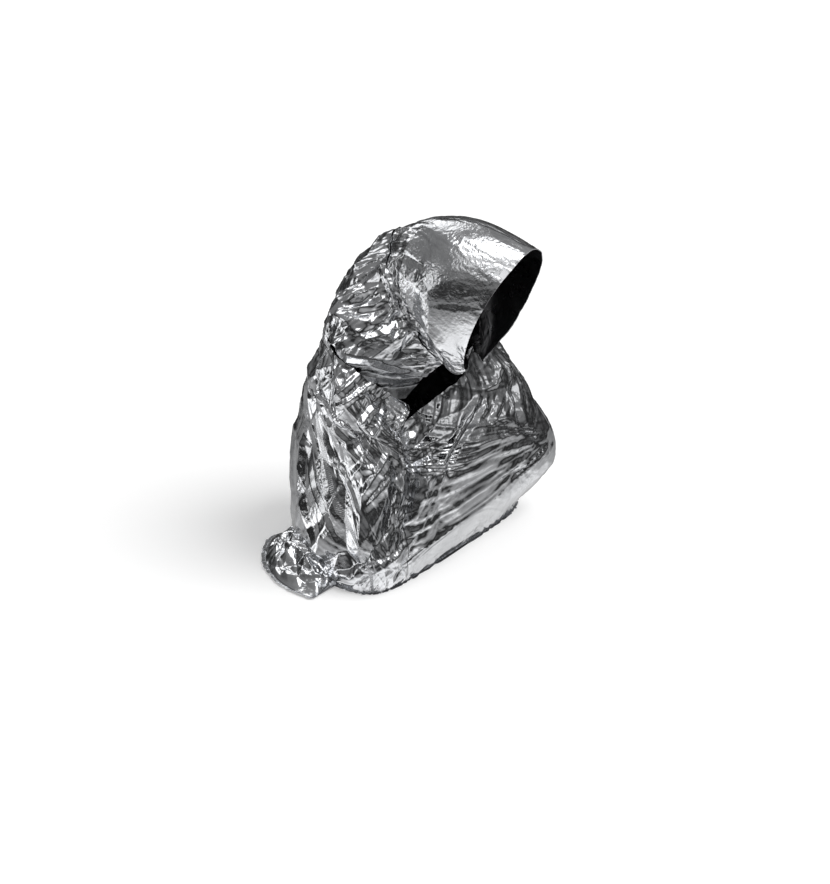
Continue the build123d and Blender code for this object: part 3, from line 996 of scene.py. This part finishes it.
@dataclass
class BodyWalls:
    """Back, sides and ground sheet: what the flaps and the hood hang from."""

    maker: Maker
    tuck: float = 0.10
    top: float = 3.8
    strip_rise: float = 0.03
    strip_lap: float = 0.5
    back_sink: float = 0.0012
    ground_rise: float = 0.0012
    ground_base: float = 0.0011
    ground_inset: float = 0.012
    flange: tuple[float, float] = (-0.014, 0.0055)
    flange_base: float = 0.0016
    crimp_depth: float = 0.003
    ring_radius: float = 0.31

    def build(self) -> list[bpy.types.Object]:
        """Builds the walls and the ground sheet, all riding on the sack's body.

        Returns:
            The pieces.
        """
        cloth = self.maker.cloth
        seam, strip_top = turn_of(SEAL_WIDTH), level(self.top + self.strip_rise)
        sides = edge(RIGHT_SEAM, 0.4), level(LEFT_SEAM_BEHIND + 0.6 * seam)
        wall = grid_places(*sides, level(0.0), level(self.top + self.tuck), 252, 176)
        back, flat = cloth.panel("back_panel_film", wall, -self.back_sink)
        strips = []
        for side, ends, rows in (
            (Side.RIGHT, (edge(RIGHT_SEAM, -self.strip_lap), edge(RIGHT_SEAM, seam)), 240),
            (Side.LEFT, (level(LEFT_SEAM_BEHIND - self.strip_lap), level(LEFT_SEAM_BEHIND + seam)), 220),
        ):
            places = grid_places(*ends, level(0.0), strip_top, 9, rows)
            strips.append(cloth.panel(f"side_seam_{side.value}_film", places)[0])
        ground, ground_flat = self._ground()
        ring = self._ground_ring()
        slots = ("film", "sealed_seam", "sealed_seam", "ground_film", "sealed_seam")
        pieces = [back, *strips, ground, ring]
        for piece, slot in zip(pieces, slots):
            self.maker.finish(piece, slot)
            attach(piece, "sack_body")
        return pieces

    def _ground(self) -> tuple[bpy.types.Object, tuple[float, float, float]]:
        """Ground sheet: rings of the floor outline drawn in to its middle, with low crinkles.

        Returns:
            The piece and its flat size.
        """
        cloth = self.maker.cloth
        angle, share = even_grid((0.0, 360.0, 220), (0.001, 1.0, 48))
        rim = cloth.form.skin(angle, np.zeros_like(angle))
        heart = rim.mean(axis=(0, 1))
        inset = 1.0 - self.ground_inset / np.linalg.norm(rim - heart, axis=-1, keepdims=True)
        plan = heart + (rim - heart) * inset * share[..., None]
        crinkle = cloth.crumple.tiles[1].sample(plan[..., 0] * 1.1, plan[..., 1] * 1.1)
        rise = self.ground_base + self.ground_rise * 0.5 * (1.0 + crinkle)
        ground, outer = laid_sheet("ground_panel_film", plan, rise, FILM_THICKNESS, plan[..., :2])
        low, high = plan.reshape(-1, 3).min(0), plan.reshape(-1, 3).max(0)
        return ground, (float(high[0] - low[0]), float(high[1] - low[1]), face_area(outer))

    def _ground_ring(self) -> bpy.types.Object:
        """Sealed flange: a flat strip along the floor line, crimped in and out along its edge.

        Returns:
            The piece.
        """
        cloth = self.maker.cloth
        angle, off = even_grid((0.0, 360.0, 560), (*self.flange, 6))
        floor_line = np.zeros_like(angle)
        crimp = cloth.crumple.tiles[2].sample(angle / 360.0 * 6.0, floor_line + 0.3)
        push = off + np.where(off > 0, self.crimp_depth * crimp, 0.0)
        plan = cloth.form.skin(angle, floor_line) + cloth.form.normal(angle, floor_line) * push[..., None]
        rise = self.flange_base * (1.0 + np.abs(crimp) * smooth(-0.004, 0.006, off))
        strip = np.stack([off, np.radians(angle) * self.ring_radius], -1)
        return laid_sheet("ground_seam_film", plan, rise, SEAL_THICKNESS, strip)[0]


@dataclass
class Shoulders:
    """Turned-down cape, its back seam, the neck band and the inner leaf at the throat."""

    maker: Maker
    throat_angle: float = 30.0
    back_angle: float = 181.0
    seam_angle: float = 2.2
    cape_top: float = 4.84
    band_foot: float = 4.79
    cape_lift: float = 0.0012
    band_lift: float = 0.0018
    leaf_back: float = 106.0
    leaf_depth: float = 0.78
    leaf_tuck: float = 0.18
    leaf_share: float = 0.22

    def build(self) -> list[bpy.types.Object]:
        """Builds the pieces, all riding on the sack's body.

        Returns:
            The pieces.
        """
        cloth = self.maker.cloth
        halves = []
        for side, table in ((Side.RIGHT, CAPE_RIGHT), (Side.LEFT, CAPE_LEFT)):
            ends = [level(angle) for angle in side.span(self.throat_angle, self.back_angle)]
            foot = ragged(table, cloth.crumple.tiles[0], 0.02, 4.0, 0.37, -0.01)
            cape_places = grid_places(*ends, foot, level(self.cape_top), 176, 60)
            band_places = grid_places(*ends, level(self.band_foot), level(NECK), 190, 14)
            halves.append(cloth.panel(f"shoulder_cape_{side.value}_film", cape_places, self.cape_lift))
            halves.append(cloth.panel(f"collar_{side.value}_film", band_places, self.band_lift))
        seam = (level(180 - self.seam_angle), level(180 + self.seam_angle))
        strip, _ = cloth.panel("yoke_seam_film", grid_places(*seam, level(3.79), level(4.83), 7, 50), 0.0022)
        tab, _ = cloth.panel("nape_tab_film", grid_places(*seam, level(4.78), level(NECK), 7, 14), 0.0032)
        leaf, leaf_flat = self._leaf()
        pieces = [*(piece for piece, _ in halves), strip, tab, leaf]
        slots = ["film"] * len(halves) + ["sealed_seam", "sealed_seam", "inner_film"]
        for piece, slot in zip(pieces, slots):
            self.maker.finish(piece, slot)
            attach(piece, "sack_body")
        return pieces

    def _leaf(self) -> tuple[bpy.types.Object, tuple[float, float, float]]:
        """Smooth inner leaf: hangs from under the cape and sinks behind the flap below.

        Returns:
            The piece and its flat size.
        """
        foot, top = edge(CAPE_RIGHT, -self.leaf_depth), edge(CAPE_RIGHT, self.leaf_tuck)
        angle, station = grid_places(edge(LEAF_EDGE), level(self.leaf_back), foot, top, 140, 60)
        drop = (table_value(CAPE_RIGHT, angle) - station) / self.leaf_depth
        lift = -0.0045 - 0.010 * np.clip(drop * 2.0, 0.0, 1.0)
        for fold in fold_set(FoldKind.RIDGE, LEAF_RIDGES):
            lift += fold.lift(angle, station)
        return self.maker.cloth.panel("throat_leaf_film", (angle, station), lift, share=self.leaf_share)


@dataclass
class Hood:
    """Hood from the neck to the face rim, tucked inside the neck band at its foot."""

    maker: Maker
    throat_angle: float = 22.0
    back_angle: float = 180.8
    seam_angle: float = 2.2
    foot: float = 4.86
    clear: float = 5.05
    full: float = 5.25
    hem: float = 6.93
    hem_lap: float = 0.02
    tuck: float = 0.0016
    neck_place: tuple[float, float, float] = (0.0, -0.169, 0.606)
    neck_normal: tuple[float, float, float] = (0.0, -0.857, 0.515)
    bend_length: float = 0.30

    def tucked(self, station: Array) -> Array:
        """Lift of the hood's foot, which slips inside the neck band."""
        return -self.tuck * (1.0 - np.clip((station - self.clear) / (self.full - self.clear), 0.0, 1.0))

    def strip(
        self, name: str, ends: tuple[float, float], span: tuple[float, float], count: tuple[int, int],
        lift: float = 0.0, thickness: float = FILM_THICKNESS,
    ) -> tuple[bpy.types.Object, tuple[float, float, float]]:
        """Part of the hood over a span of angles and stations.

        Args:
            name: Name of the piece.
            ends: First and last angle.
            span: First and last station.
            count: Columns and rows.
            lift: Metres off the hood film.
            thickness: Thickness of the piece.

        Returns:
            The piece and its flat size.
        """
        places = grid_places(level(ends[0]), level(ends[1]), level(span[0]), level(span[1]), *count)
        return self.maker.cloth.panel(name, places, self.tucked(places[1]) + lift, thickness)

    def build(self) -> list[bpy.types.Object]:
        """Builds the hood's two panels, their rim hems and the crown seam.

        Returns:
            The pieces.
        """
        made = []
        for side in Side:
            ends, word = side.span(self.throat_angle, self.back_angle), side.value
            film, rim = (self.foot, self.hem + self.hem_lap), (self.hem - self.hem_lap, RIM)
            panel, flat = self.strip(f"hood_panel_{word}_film", ends, film, (184, 124))
            hem, _ = self.strip(f"hood_rim_hem_{word}_film", ends, rim, (184, 7), 0.0008, 0.0016)
            made += [(panel, "hood_film", flat), (hem, "folded_hem", None)]
        crown = (180 - self.seam_angle, 180 + self.seam_angle)
        seam, _ = self.strip("hood_crown_seam_film", crown, (self.foot, RIM), (7, 130), 0.0011)
        made.append((seam, "sealed_seam", None))
        for piece, slot, _ in made:
            self.maker.finish(piece, slot)
            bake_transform(piece)
        return [piece for piece, _, _ in made]


@dataclass
class FrontFlaps:
    """The two front flaps, each hemmed along the closure.

    Each hinge is a point of its line and the direction from it into the flap.
    """

    maker: Maker
    hem_width: float = 0.016
    gap: float = 0.0022
    floor: float = 0.004
    bend_length: float = 0.09
    hinges: dict[Side, tuple[tuple[float, ...], tuple[float, ...]]] = field(
        default_factory=lambda: {
            Side.RIGHT: ((-0.3341, -0.2145, 0.0137), (0.6, -0.8, 0.21)),
            Side.LEFT: ((0.3558, -0.1229, 0.0157), (-0.5, -0.87, 0.065)),
        }
    )

    def build(self) -> list[bpy.types.Object]:
        """Builds both flaps and their hems.

        Returns:
            The pieces.
        """
        half, hem = turn_of(self.gap / 2), turn_of(self.hem_width)
        left_start = level(LEFT_SEAM_ANGLE + turn_of(SEAL_WIDTH) - 0.5)
        right = (edge(CLOSURE, half), edge(CLOSURE, half + hem), edge(RIGHT_SEAM, 0.9), RIGHT_FLAP_TOP)
        left = (edge(CLOSURE, -half), edge(CLOSURE, -half - hem), left_start, LEFT_FLAP_TOP)
        return self._flap(Side.RIGHT, *right, 120) + self._flap(Side.LEFT, *left, 210)

    def _flap(
        self, side: Side, free: Callable, fold: Callable, seam: Callable, top: Table, columns: int
    ) -> list[bpy.types.Object]:
        """One flap with its hem.

        Args:
            side: Right or left.
            free: Angle of the free edge at each station.
            fold: Angle of the hem's inner edge.
            seam: Angle of the edge at the side seam.
            top: Station of the top edge against angle.
            columns: Columns of the panel's grid.

        Returns:
            The panel and the hem.
        """
        cloth, word = self.maker.cloth, side.value
        top_edge = ragged(top, cloth.crumple.tiles[0], 0.018, 5.0, 0.71)
        ends, sides, root = (fold, seam), (free, fold), -1
        if side is Side.LEFT:
            ends, sides, root = (seam, fold), (fold, free), 0
        places = grid_places(*ends, level(self.floor), top_edge, columns, 178)
        hem_places = grid_places(*sides, level(self.floor), top_edge, 8, 190)
        panel, flat = cloth.panel(f"{word}_front_panel_film", places, -0.0004)
        hem, _ = cloth.panel(f"{word}_front_hem_film", hem_places, 0.0006, 0.0012)
        self.maker.finish(panel, "film")
        self.maker.finish(hem, "folded_hem")
        seam_edge = cloth.points(*places)[:, root]
        for piece in (panel, hem):
            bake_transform(piece)
        return [panel, hem]


@dataclass
class FootEnd:
    """Empty foot end of the sack, crumpled on the floor beside the wall."""

    maker: Maker
    first_angle: float = 93.0
    last_angle: float = 148.0
    station: float = 0.75
    gap: float = 0.010
    reach: float = 0.072
    slant: float = 0.034
    seal: float = 0.008
    seal_lap: float = 0.003
    height: float = 0.062
    base: float = 0.005
    under_base: float = 0.0036
    seal_base: float = 0.0042
    crimp_rise: float = 0.0035
    root_sink: float = 0.022
    top_thickness: float = 0.0006
    bend_length: float = 0.035
    size: tuple[float, float] = (0.27, 0.11)

    def root(self, share: Array, off: float) -> Array:
        """Places beside the wall, at a distance off it, brought down to the floor.

        Args:
            share: 0 to 1 along the root.
            off: Metres off the wall.

        Returns:
            Points at height zero.
        """
        form = self.maker.cloth.form
        angle = self.first_angle + (self.last_angle - self.first_angle) * share
        station = np.full_like(angle, self.station)
        point = form.skin(angle, station) + form.normal(angle, station) * off
        point[..., 2] = 0.0
        return point

    def heading(self, off: float) -> tuple[Array, Array, Array]:
        """Middle of the root at a distance off the wall, the way along it and the way off it."""
        ends = self.root(np.array([0.0, 1.0]), off)
        chord = (ends[1] - ends[0]) / np.linalg.norm(ends[1] - ends[0])
        return ends.mean(0), chord, np.array([-chord[1], chord[0], 0.0])

    def outline(self, share: Array, extra: Array | float = 0.0) -> Array:
        """Places on the outer edge: a rounded reach off the root that slants at its front.

        Args:
            share: 0 to 1 along the edge.
            extra: Metres beyond the edge.

        Returns:
            Points at height zero.
        """
        _, chord, away = self.heading(self.gap)
        swing = 0.14 + 0.86 * share
        full = 0.34 + 0.66 * np.sin(np.pi * np.clip(swing, 0.0, 1.0)) ** 0.6
        slant = self.slant * (1.0 - share) ** 2
        reach = (self.reach * full + extra)[..., None]
        return self.root(share, self.gap) + away * reach - chord * slant[..., None]

    def build(self) -> list[bpy.types.Object]:
        """Builds the domed top, the flat bottom and the sealed edge.

        Returns:
            The pieces.
        """
        tiles = self.maker.cloth.crumple.tiles
        share, out = even_grid((0.0, 1.0, 130), (0.0, 1.0, 64))
        inside = self.root(share, -self.root_sink)
        plan = inside * (1.0 - out[..., None]) + self.outline(share) * out[..., None]
        arch = np.clip(np.sin(np.pi * share), 0.0, 1.0) ** 0.6
        dome = self.height * arch * (1.0 - out**1.8)
        facets = tiles[0].sample(share * 0.30 + 0.1, out * 0.16 + 0.3)
        small = tiles[1].sample(share * 0.42, out * 0.22 + 0.6)
        fine = tiles[2].sample(share * 0.6, out * 0.34 + 0.2)
        push = (0.012 * facets + 0.007 * small + 0.002 * fine) * np.clip(4 * arch * (1 - out), 0.0, 1.0)
        flat = np.stack([share * self.size[0], out * self.size[1]], -1)
        rise, low_rise = self.base + np.maximum(dome + push, 0.0), self.under_base + 0.0006 * small
        upper, top = laid_sheet("foot_end_upper_film", plan, rise, self.top_thickness, flat)
        lower, under = laid_sheet("foot_end_lower_film", plan, low_rise, FILM_THICKNESS, flat)
        seal = self._seal()
        start, _, away = self.heading(0.0)
        for piece, slot in ((upper, "film"), (lower, "film"), (seal, "sealed_seam")):
            self.maker.finish(piece, slot)
            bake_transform(piece)
        return [upper, lower, seal]

    def _seal(self) -> bpy.types.Object:
        """Sealed edge: a strip along the outline, crimped up and out.

        Returns:
            The piece.
        """
        along, across = even_grid((0.0, 1.0, 200), (-self.seal_lap, self.seal, 5))
        crimp = self.maker.cloth.crumple.tiles[2].sample(along * 0.9, across * 0.0 + 0.2)
        plan = self.outline(along, across + 0.003 * crimp * (across > 0))
        rise = self.seal_base + self.crimp_rise * np.abs(crimp) * (across / self.seal)
        flat = np.stack([across, along * 0.3], -1)
        return laid_sheet("foot_end_seal_film", plan, rise, SEAL_THICKNESS, flat)[0]


def fold_set(kind: FoldKind, rows: Sequence[tuple[float, float, Table]]) -> tuple[Fold, ...]:
    """Folds of one kind from rows of height and width in millimetres and a line.

    Args:
        kind: Cross-section of the folds.
        rows: Height, half width and line of each fold.

    Returns:
        The folds.
    """
    return tuple(Fold(line, kind, height / 1000.0, width / 1000.0) for height, width, line in rows)


CAPE_RIDGES = (
    (6, 14, ((140, 4.17), (126, 4.47), (120, 4.63), (114, 4.83))),
    (5, 12, ((132, 4.17), (124, 4.43), (116, 4.67))),
    (7, 16, ((126, 4.07), (112, 4.43), (100, 4.87))),
    (8, 18, ((124, 4.07), (110, 4.23), (94, 4.33), (80, 4.43))),
    (6, 15, ((126, 4.07), (110, 4.3), (98, 4.5), (86, 4.57), (72, 4.67))),
    (6, 14, ((84, 4.87), (78, 4.8), (68, 4.67), (66, 4.53))),
    (6, 16, ((112, 3.73), (98, 4.17), (94, 4.33))),
    (4, 14, ((98, 5.13), (86, 5.17), (78, 5.2))),
    (6, 22, ((-60, 4.2), (-75, 4.5), (-100, 4.75))),
    (7, 24, ((-110, 3.95), (-125, 4.35), (-135, 4.75))),
    (7, 24, ((-176, 3.9), (-165, 4.3), (-158, 4.8))),
)
CAPE_VALLEYS = (
    (7, 15, ((124, 4.23), (116, 4.47), (112, 4.7))),
    (5, 11, ((122, 4.17), (108, 4.43), (100, 4.6))),
    (8, 16, ((112, 4.9), (96, 4.9), (78, 4.78), (68, 4.62))),
    (6, 20, ((-90, 4.0), (-105, 4.4), (-112, 4.8))),
    (7, 22, ((-150, 3.9), (-148, 4.4), (-152, 4.9))),
    (4, 16, ((166, 5.52), (140, 5.26), (104, 5.1), (80, 5.16), (66, 5.66), (48, 6.2))),
)
ROLLS = (
    (7, 9, ((126, 4.93), (110, 4.97), (94, 4.9), (90, 4.73), (86, 4.57))),
    (9, 20, ((92, 0.2), (78, 0.57), (54, 0.77), (36, 0.9))),
    (6, 12, ((-34, 2.73), (-22, 2.27))),
    (6, 12, ((-26, 2.87), (-14, 2.63), (-8, 2.5))),
)
LEAF_RIDGES = (
    (9, 14, ((95, 3.86), (70, 4.2), (40, 4.3), (12, 4.22))),
    (8, 12, ((75, 3.9), (50, 4.02), (14, 4.05))),
)
FLAP_RIDGES = (
    (7, 15, ((106, 2.57), (92, 2.5), (86, 2.4), (86, 2.13))),
    (8, 14, ((72, 4.07), (78, 3.73), (94, 3.13))),
    (6, 9, ((60, 4.0), (76, 3.47), (94, 2.97))),
    (9, 14, ((52, 3.63), (62, 3.37), (72, 3.0), (68, 2.8))),
    (6, 11, ((46, 3.63), (58, 3.1), (68, 2.7))),
    (5, 8, ((100, 1.9), (94, 1.93), (90, 1.87), (86, 1.7), (82, 1.53), (76, 1.43))),
    (6, 12, ((86, 1.83), (80, 2.0), (76, 2.2))),
    (6, 12, ((80, 2.0), (66, 2.17))),
    (9, 15, ((56, 2.57), (64, 2.2), (74, 1.8), (80, 1.57))),
    (7, 12, ((58, 2.0), (68, 1.73), (78, 1.5))),
    (7, 12, ((50, 2.03), (52, 1.67), (50, 1.23))),
    (9, 14, ((-16, 3.17), (-4, 3.0), (6, 2.67), (18, 2.4), (24, 2.2), (24, 1.7))),
    (6, 10, ((-46, 3.3), (-28, 3.1), (-16, 3.2))),
    (6, 10, ((-48, 3.27), (-44, 3.03), (-36, 2.8))),
    (5, 9, ((-18, 3.07), (-4, 2.67))),
    (6, 10, ((-6, 2.57), (-16, 2.4), (-24, 2.13))),
    (5, 13, ((-34, 1.87), (-10, 2.07), (0, 2.2), (6, 2.23))),
    (5, 12, ((-34, 1.67), (-12, 1.8), (2, 1.97), (16, 2.0))),
    (4, 11, ((-34, 1.43), (-12, 1.6), (6, 1.83), (18, 1.83))),
    (4, 11, ((-28, 1.43), (-6, 1.57), (0, 1.47), (8, 1.47))),
    (4, 8, ((36, 2.8), (42, 2.3), (44, 1.83), (44, 1.5))),
    (5, 9, ((34, 2.7), (36, 2.0), (32, 1.53))),
    (5, 9, ((28, 2.23), (26, 1.97), (24, 1.57), (22, 1.3))),
)
FLAP_VALLEYS = (
    (10, 18, ((54, 2.4), (58, 1.83), (60, 1.47), (58, 1.13))),
    (18, 26, ((32, 3.23), (40, 2.9), (40, 2.5), (44, 2.0), (42, 1.53), (38, 1.07))),
    (6, 12, ((72, 1.4), (66, 1.13))),
    (8, 16, ((124, 2.0), (110, 1.53), (100, 1.37), (92, 1.2), (88, 0.97))),
    (9, 15, ((-10, 3.0), (0, 2.73), (10, 2.5), (19, 2.17), (19, 1.83))),
    (9, 20, ((-44, 2.97), (-32, 2.57), (-26, 2.03), (-34, 1.5))),
    (6, 12, ((-24, 1.36), (-14, 1.4), (-2, 1.36))),
    (8, 16, ((84, 2.66), (74, 2.36), (68, 2.06))),
)
WALL_RIDGES = (
    (8, 18, ((142, 0.25), (128, 0.12), (112, 0.16), (98, 0.3))),
    (8, 26, ((150, 3.7), (140, 2.9), (128, 2.1), (124, 1.3), (130, 0.7))),
    (7, 24, ((124, 1.3), (110, 0.8), (100, 0.5))),
    (7, 24, ((170, 3.6), (164, 2.6), (148, 1.7), (130, 0.7))),
    (8, 28, ((200, 3.7), (196, 2.7), (206, 1.7), (200, 0.7))),
    (8, 28, ((232, 3.7), (222, 2.6), (206, 1.7))),
    (8, 28, ((250, 3.2), (244, 2.2), (230, 1.2), (236, 0.5))),
    (8, 26, ((-70, 3.5), (-78, 2.5), (-66, 1.5), (-72, 0.6))),
)
LAPS = (
    (9, 42, ((90, 1.05), (97, 1.4), (102, 1.6), (106, 1.9), (109, 2.1), (112, 2.5), (115, 2.9))),
    (8, 30, ((120, 2.97), (112, 2.83), (100, 2.87), (84, 2.83), (76, 2.67), (74, 2.43), (66, 2.17))),
    (6, 50, ((58, 6.2), (71, 5.95), (83, 5.3), (104, 5.19), (137, 5.42), (176, 5.75))),
    (15, 70, ((-42, 1.42), (-32, 1.43), (-20, 1.27), (-10, 1.17), (2, 1.07), (28, 0.87))),
)


def make_crumple() -> Crumple:
    """Every crumple, fold and fan of this sack.

    Returns:
        The relief shared by all its panels.
    """
    hood = Area(0.0, 6.35, 999.0, 1.15, 0.16)
    low_right = Area(122.0, 1.0, 24.0, 1.3, 0.4)
    tucked = Area(-10.0, 0.45, 42.0, 0.6, 0.2)
    cape = Area(110.0, 4.35, 70.0, 0.45, 1.3)
    right_flap = Area(80.0, 2.1, 36.0, 1.7, 0.28)
    left_flap = Area(-8.0, 2.1, 40.0, 1.6, 0.42)
    band = Area(104.0, 1.95, 12.0, 0.9, 0.12)
    quiet = (hood, low_right, tucked, right_flap, left_flap, band)
    layers = (
        Layer(0, 1, 1.55, 0.0110, 0.1, 0, (hood, tucked, left_flap, band)),
        Layer(1, 2, 0.80, 0.0034, -0.15, 1, (*quiet, cape)),
        Layer(2, 4, 0.38, 0.0006, 0.2, 1, quiet),
        Layer(2, 4, 2.40, 0.0020, 4.5, 0, quiet, 1.0),
        Layer(2, 4, 2.40, 0.0020, -5.5, 0, quiet, -1.0),
    )
    folds = (
        *fold_set(FoldKind.RIDGE, CAPE_RIDGES + FLAP_RIDGES + WALL_RIDGES),
        *fold_set(FoldKind.VALLEY, CAPE_VALLEYS + FLAP_VALLEYS),
        *fold_set(FoldKind.ROLL, ROLLS),
        *fold_set(FoldKind.LAP, LAPS),
    )
    fans = (
        Fan((44.0, 0.8), 15.0, 105.0, 0.46, 60.0, 0.0028),
        Fan((-44.0, 1.66), -26.0, 34.0, 0.46, 210.0, 0.0030),
    )
    tiles = (FacetTile(24, 11), FacetTile(30, 23), FacetTile(38, 37))
    return Crumple(layers, folds, fans, tiles)


@dataclass(frozen=True)
class Softbox:
    """A soft patch of light seen in the film, by compass bearing and height."""

    azimuth: float
    elevation: float
    reach: float
    strength: float
    soft: float


@dataclass
class Studio:
    """Plain pale floor, soft lights and the camera."""

    azimuth: float = -55.0
    elevation: float = 24.0
    distance: float = 6.0
    view_height: float = 2.056
    key_azimuth: float = 25.0
    key_elevation: float = 48.0
    key_spread: float = 50.0
    key_strength: float = 2.3
    aim: tuple[float, float, float] = (0.0721, -0.0695, 0.1976)
    fill: float = 0.42
    floor_size: float = 60.0
    floor_tone: float = 0.86
    floor_glow: float = 0.26
    room_tones: Table = (
        (0.0, 1.25), (0.12, 1.0), (0.22, 0.46), (0.34, 0.30), (0.43, 0.14), (0.48, 0.015),
        (0.56, 0.04), (0.70, 0.16), (0.86, 0.22), (1.0, 0.3),
    )
    boxes: tuple[Softbox, ...] = (
        Softbox(-62.0, 80.0, 20.0, 2.4, 5.0),
        Softbox(-126.0, 16.0, 10.0, 1.0, 4.0),
        Softbox(-153.0, -18.0, 10.0, 1.3, 4.0),
        Softbox(-133.0, -7.0, 9.0, 1.4, 4.0),
        Softbox(0.0, 30.0, 10.0, 0.5, 4.0),
        Softbox(-90.0, 48.0, 8.0, 0.7, 3.0),
        Softbox(60.0, 45.0, 12.0, 0.7, 5.0),
        Softbox(150.0, 35.0, 16.0, 1.4, 5.0),
    )

    def build(self) -> None:
        """Builds floor, world, lights and camera."""
        self._floor()
        self._world()
        self._lamp()
        self._camera()
        scene = bpy.context.scene
        scene.view_settings.view_transform = "Standard"

    def _floor(self) -> None:
        """Large level floor that stays out of mirror reflections."""
        bpy.ops.mesh.primitive_plane_add(size=self.floor_size, location=(0.0, 0.0, 0.0))
        floor = bpy.context.object
        floor.name = "floor"
        material = bpy.data.materials.new("pale_floor")
        material.use_nodes = True
        shader = material.node_tree.nodes["Principled BSDF"]
        looks = {
            "Base Color": (self.floor_tone, self.floor_tone, self.floor_tone, 1.0), "Roughness": 0.9,
            "Specular IOR Level": 0.0,
            "Emission Color": (1.0, 1.0, 1.0, 1.0), "Emission Strength": self.floor_glow,
        }
        for name, value in looks.items():
            shader.inputs[name].default_value = value
        floor.data.materials.append(material)
        floor.visible_glossy = False

    def _world(self) -> None:
        """White surroundings for the eye, and a room of soft patches for the film to mirror."""
        world = bpy.data.worlds.new("studio")
        bpy.context.scene.world = world
        world.use_nodes = True
        tree = world.node_tree
        tree.nodes.clear()
        way = add_node(tree, "TexCoord", {}).outputs["Generated"]
        split = add_node(tree, "SeparateXYZ", {"Vector": way})
        ramp = add_node(tree, "ValToRGB", {"Fac": add_range(tree, split.outputs["Z"], (-1.0, 1.0))})
        elements = ramp.color_ramp.elements
        for element, (place, value) in zip(elements, (self.room_tones[0], self.room_tones[-1])):
            element.position, element.color = place, (value, value, value, 1.0)
        for place, value in self.room_tones[1:-1]:
            elements.new(place).color = (value, value, value, 1.0)
        mirrored: bpy.types.NodeSocket = ramp.outputs["Color"]
        for box in self.boxes:
            mirrored = self._patch(tree, way, box, mirrored)
        rays = add_node(tree, "LightPath", {})
        seen = self._background(tree, mirrored)
        for kind, grey in (("Is Diffuse Ray", self.fill), ("Is Camera Ray", 1.0)):
            plain = self._background(tree, (grey, grey, grey, 1.0))
            mix = {"Fac": rays.outputs[kind], 1: seen, 2: plain}
            seen = add_node(tree, "MixShader", mix).outputs["Shader"]
        add_node(tree, "OutputWorld", {"Surface": seen})

    @staticmethod
    def _background(tree: bpy.types.NodeTree, colour: object) -> bpy.types.NodeSocket:
        """Adds a background of one colour, or of the colours of a socket."""
        return add_node(tree, "Background", {"Color": colour}).outputs["Background"]

    @staticmethod
    def _patch(
        tree: bpy.types.NodeTree, way: bpy.types.NodeSocket, box: Softbox, before: bpy.types.NodeSocket
    ) -> bpy.types.NodeSocket:
        """Adds one soft patch: the cosine to its middle, stepped smoothly at its rim.

        Args:
            tree: World node tree.
            way: Socket with the direction looked in.
            box: The patch.
            before: Light so far.

        Returns:
            Socket with the patch added.
        """
        middle = compass(box.azimuth, box.elevation)
        near = add_node(tree, "VectorMath", {0: way, 1: middle}, operation="DOT_PRODUCT").outputs["Value"]
        rim = tuple(math.cos(math.radians(box.reach + off)) for off in (box.soft, -box.soft))
        step = add_range(tree, near, rim, (0.0, box.strength), interpolation_type="SMOOTHSTEP")
        return add_node(tree, "VectorMath", {0: before, 1: step}, operation="ADD").outputs["Vector"]

    def _lamp(self) -> None:
        """Broad soft key light from the front right, kept out of mirror reflections."""
        data = bpy.data.lights.new("soft_key", "SUN")
        data.energy = self.key_strength
        data.angle = math.radians(self.key_spread)
        lamp = bpy.data.objects.new("soft_key", data)
        lamp.visible_glossy = False
        lamp.rotation_euler = compass(self.key_azimuth, self.key_elevation).to_track_quat("Z", "Y").to_euler()
        bpy.context.scene.collection.objects.link(lamp)

    def _camera(self) -> None:
        """Long-lens camera level with the horizon, looking down at the lap."""
        back = compass(self.azimuth, self.elevation)
        data = bpy.data.cameras.new("camera")
        data.lens = data.sensor_width * self.distance / self.view_height
        camera = bpy.data.objects.new("camera", data)
        camera.location = Vector(self.aim) + back * self.distance
        camera.rotation_euler = (-back).to_track_quat("-Z", "Y").to_euler()
        bpy.context.scene.collection.objects.link(camera)
        bpy.context.scene.camera = camera


def write_sizes() -> None:
    """Brings the scene's view layer up to date."""
    bpy.context.view_layer.update()


def main() -> None:
    """Builds every sub-assembly, then the studio."""
    logging.basicConfig(level=logging.INFO, format="%(name)s: %(message)s")
    maker = Maker(FilmCloth(TubeForm(), make_crumple()))
    for part in (BodyWalls, Shoulders, Hood, FrontFlaps, FootEnd):
        pieces = part(maker).build()
        LOG.info("%s: %d pieces", part.__name__, len(pieces))
    Studio().build()
    write_sizes()


if __name__ == "__main__":
    main()
